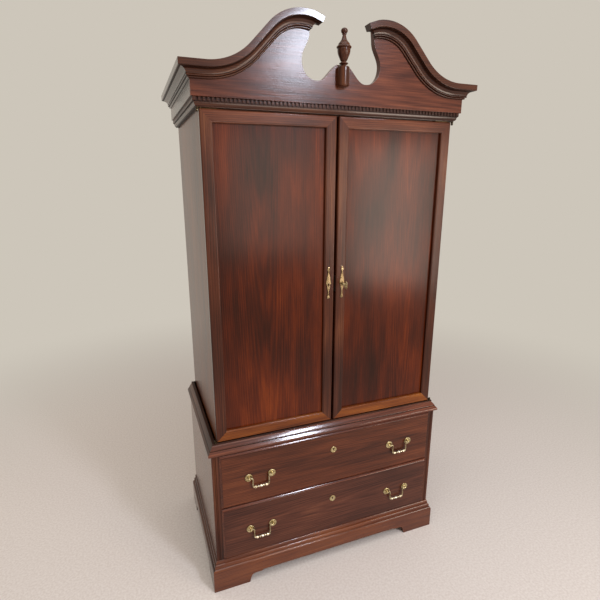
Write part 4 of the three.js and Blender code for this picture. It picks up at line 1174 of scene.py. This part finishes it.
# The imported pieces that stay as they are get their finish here

finishes = {
    "lower_bottom": railWood, "drawer_divider": railWood, "upper_bottom": railWood, "upper_top": railWood,
    "tv_shelf": railWood, "lower_back": backWood, "upper_back": backWood, "base_rear": backWood,
    "door_lock": steel, "lock_bolt": steel,
}
for side, word in sides:
    finishes[f"lower_side_{word}"] = lowerSideWood
    finishes[f"upper_side_{word}"] = upperSideWood
    finishes[f"frieze_{word}"] = shadedSideRail
    finishes[f"door_{word}_panel"] = panelWoods[word]
for level in levels:
    finishes[f"drawer_{level}_box"] = innerWood
    finishes[f"drawer_{level}_bottom"] = innerWood
for name, material in finishes.items():
    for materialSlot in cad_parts[name].material_slots:
        materialSlot.material = material
print("finishes set")

# A pale floor that fades into a pale room, five soft lamps, and the camera

room = {
    "floor": "#dfd5cd", "fleck": "#d3c7be", "backdrop": "#cdc6ba", "light": "#f4f2ee", "fill": 0.48,
    "fleckWidth": 1000 / 120, "fade": (1.1, 3.6), "reach": 20000, "below": 0.2,
}


# 1 where the eye, a reflection or clear glass would see the backdrop, and 0 for the light on the piece
def seenRay(tree):
    rays = addNode(tree, "ShaderNodeLightPath").outputs
    inputs = {0: rays["Is Camera Ray"], 1: rays["Is Glossy Ray"]}
    seen = addNode(tree, maths, inputs, operation="MAXIMUM")
    inputs = {0: seen, 1: rays["Is Transmission Ray"]}
    return addNode(tree, maths, inputs, operation="MAXIMUM")


material, tree, shader, coords = startMaterial("paleFloor")
flecks = addNode(tree, noise, {"Vector": coords, "Scale": 1 / (room["fleckWidth"] * mm), "Detail": 3})
setInputs(tree, shader, {
    "Base Color": addRamp(tree, flecks, [(0.35, room["fleck"]), (0.65, room["floor"])]),
    "Roughness": 0.9,
})
away = addNode(tree, vectorMath, {0: coords}, operation="LENGTH").outputs["Value"]
near, far = room["fade"]
inputs = {"Value": away, "From Min": near, "From Max": far}
fade = addNode(tree, mapRange, inputs, interpolation_type="SMOOTHSTEP")
shown = addNode(tree, maths, {0: fade, 1: seenRay(tree)}, operation="MULTIPLY")
glow = addNode(tree, "ShaderNodeEmission", {"Color": linear(room["backdrop"]), "Strength": 1})
faded = addNode(tree, "ShaderNodeMixShader", {0: shown, 1: shader, 2: glow})
setInputs(tree, tree.nodes["Material Output"], {"Surface": faded})
reach = room["reach"]
corners = [(-reach, -reach, 0), (reach, -reach, 0), (reach, reach, 0), (-reach, reach, 0)]
floor = makePiece("floor", corners, [(0, 1, 2, 3)], [material])
floor.location.z = -room["below"] * mm

world = bpy.data.worlds.new("paleRoom")
bpy.context.scene.world = world
world.use_nodes = True
tree = world.node_tree
tree.nodes.clear()
light = addNode(tree, "ShaderNodeBackground", {"Color": linear(room["light"]), "Strength": room["fill"]})
pale = addNode(tree, "ShaderNodeBackground", {"Color": linear(room["backdrop"]), "Strength": 1})
mixed = addNode(tree, "ShaderNodeMixShader", {0: seenRay(tree), 1: light, 2: pale})
addNode(tree, "ShaderNodeOutputWorld", {"Surface": mixed})

# Watts, metres and degrees of roll. The last lamp brightens the floor at the left and isn't mirrored
lamps = {
    "overhead": {
        "at": (0.806, -2.567, 2.62), "towards": (-0.1, -0.27, 1.93), "size": (0.27, 0.56), "power": 49,
        "colour": "#e6eeff", "roll": -40,
    },
    "wallRight": {
        "at": (2.01, -3.05, 1.18), "towards": (0.2, -0.25, 1.3), "size": (0.9, 1.52), "power": 35,
    },
    "wallLeft": {
        "at": (0.75, -3.4, 1.42), "towards": (-0.2, -0.25, 1.3), "size": (1.04, 1.25), "power": 14,
    },
    "ceiling": {
        "at": (-0.4, -1.5, 3.9), "towards": (-0.3, -1.2, 1), "size": (3, 2.6), "power": 54,
        "colour": "#ffffff",
    },
    "floorLeft": {
        "at": (-1.4, 0.9, 2.2), "towards": (-0.9, 0.8, 0), "size": (1, 1), "power": 9, "seen": False,
    },
}
for name, lamp in lamps.items():
    data = bpy.data.lights.new(name, "AREA")
    data.shape = "RECTANGLE"
    data.size, data.size_y = lamp["size"]
    data.energy = lamp["power"]
    data.color = linear(lamp.get("colour", "#fff0e0"))[:3]
    holder = addObject(name, data)
    holder.visible_camera = False
    holder.visible_glossy = lamp.get("seen", True)
    holder.location = lamp["at"]
    aim = (Vector(lamp["towards"]) - Vector(lamp["at"])).to_track_quat("-Z", "Y")
    holder.rotation_euler = (aim @ Quaternion((0, 0, 1), math.radians(lamp.get("roll", 0)))).to_euler()

view = {"at": (-0.6663, -1.6414, 1.5159), "tilt": 75.127, "pan": -20.893, "lens": 26.43, "sensor": 36}
data = bpy.data.cameras.new("photoCamera")
data.lens = view["lens"]
data.sensor_width = view["sensor"]
camera = addObject("photoCamera", data)
camera.location = view["at"]
camera.rotation_euler = (math.radians(view["tilt"]), 0, math.radians(view["pan"]))
bpy.context.scene.camera = camera
bpy.context.scene.view_settings.view_transform = "Standard"
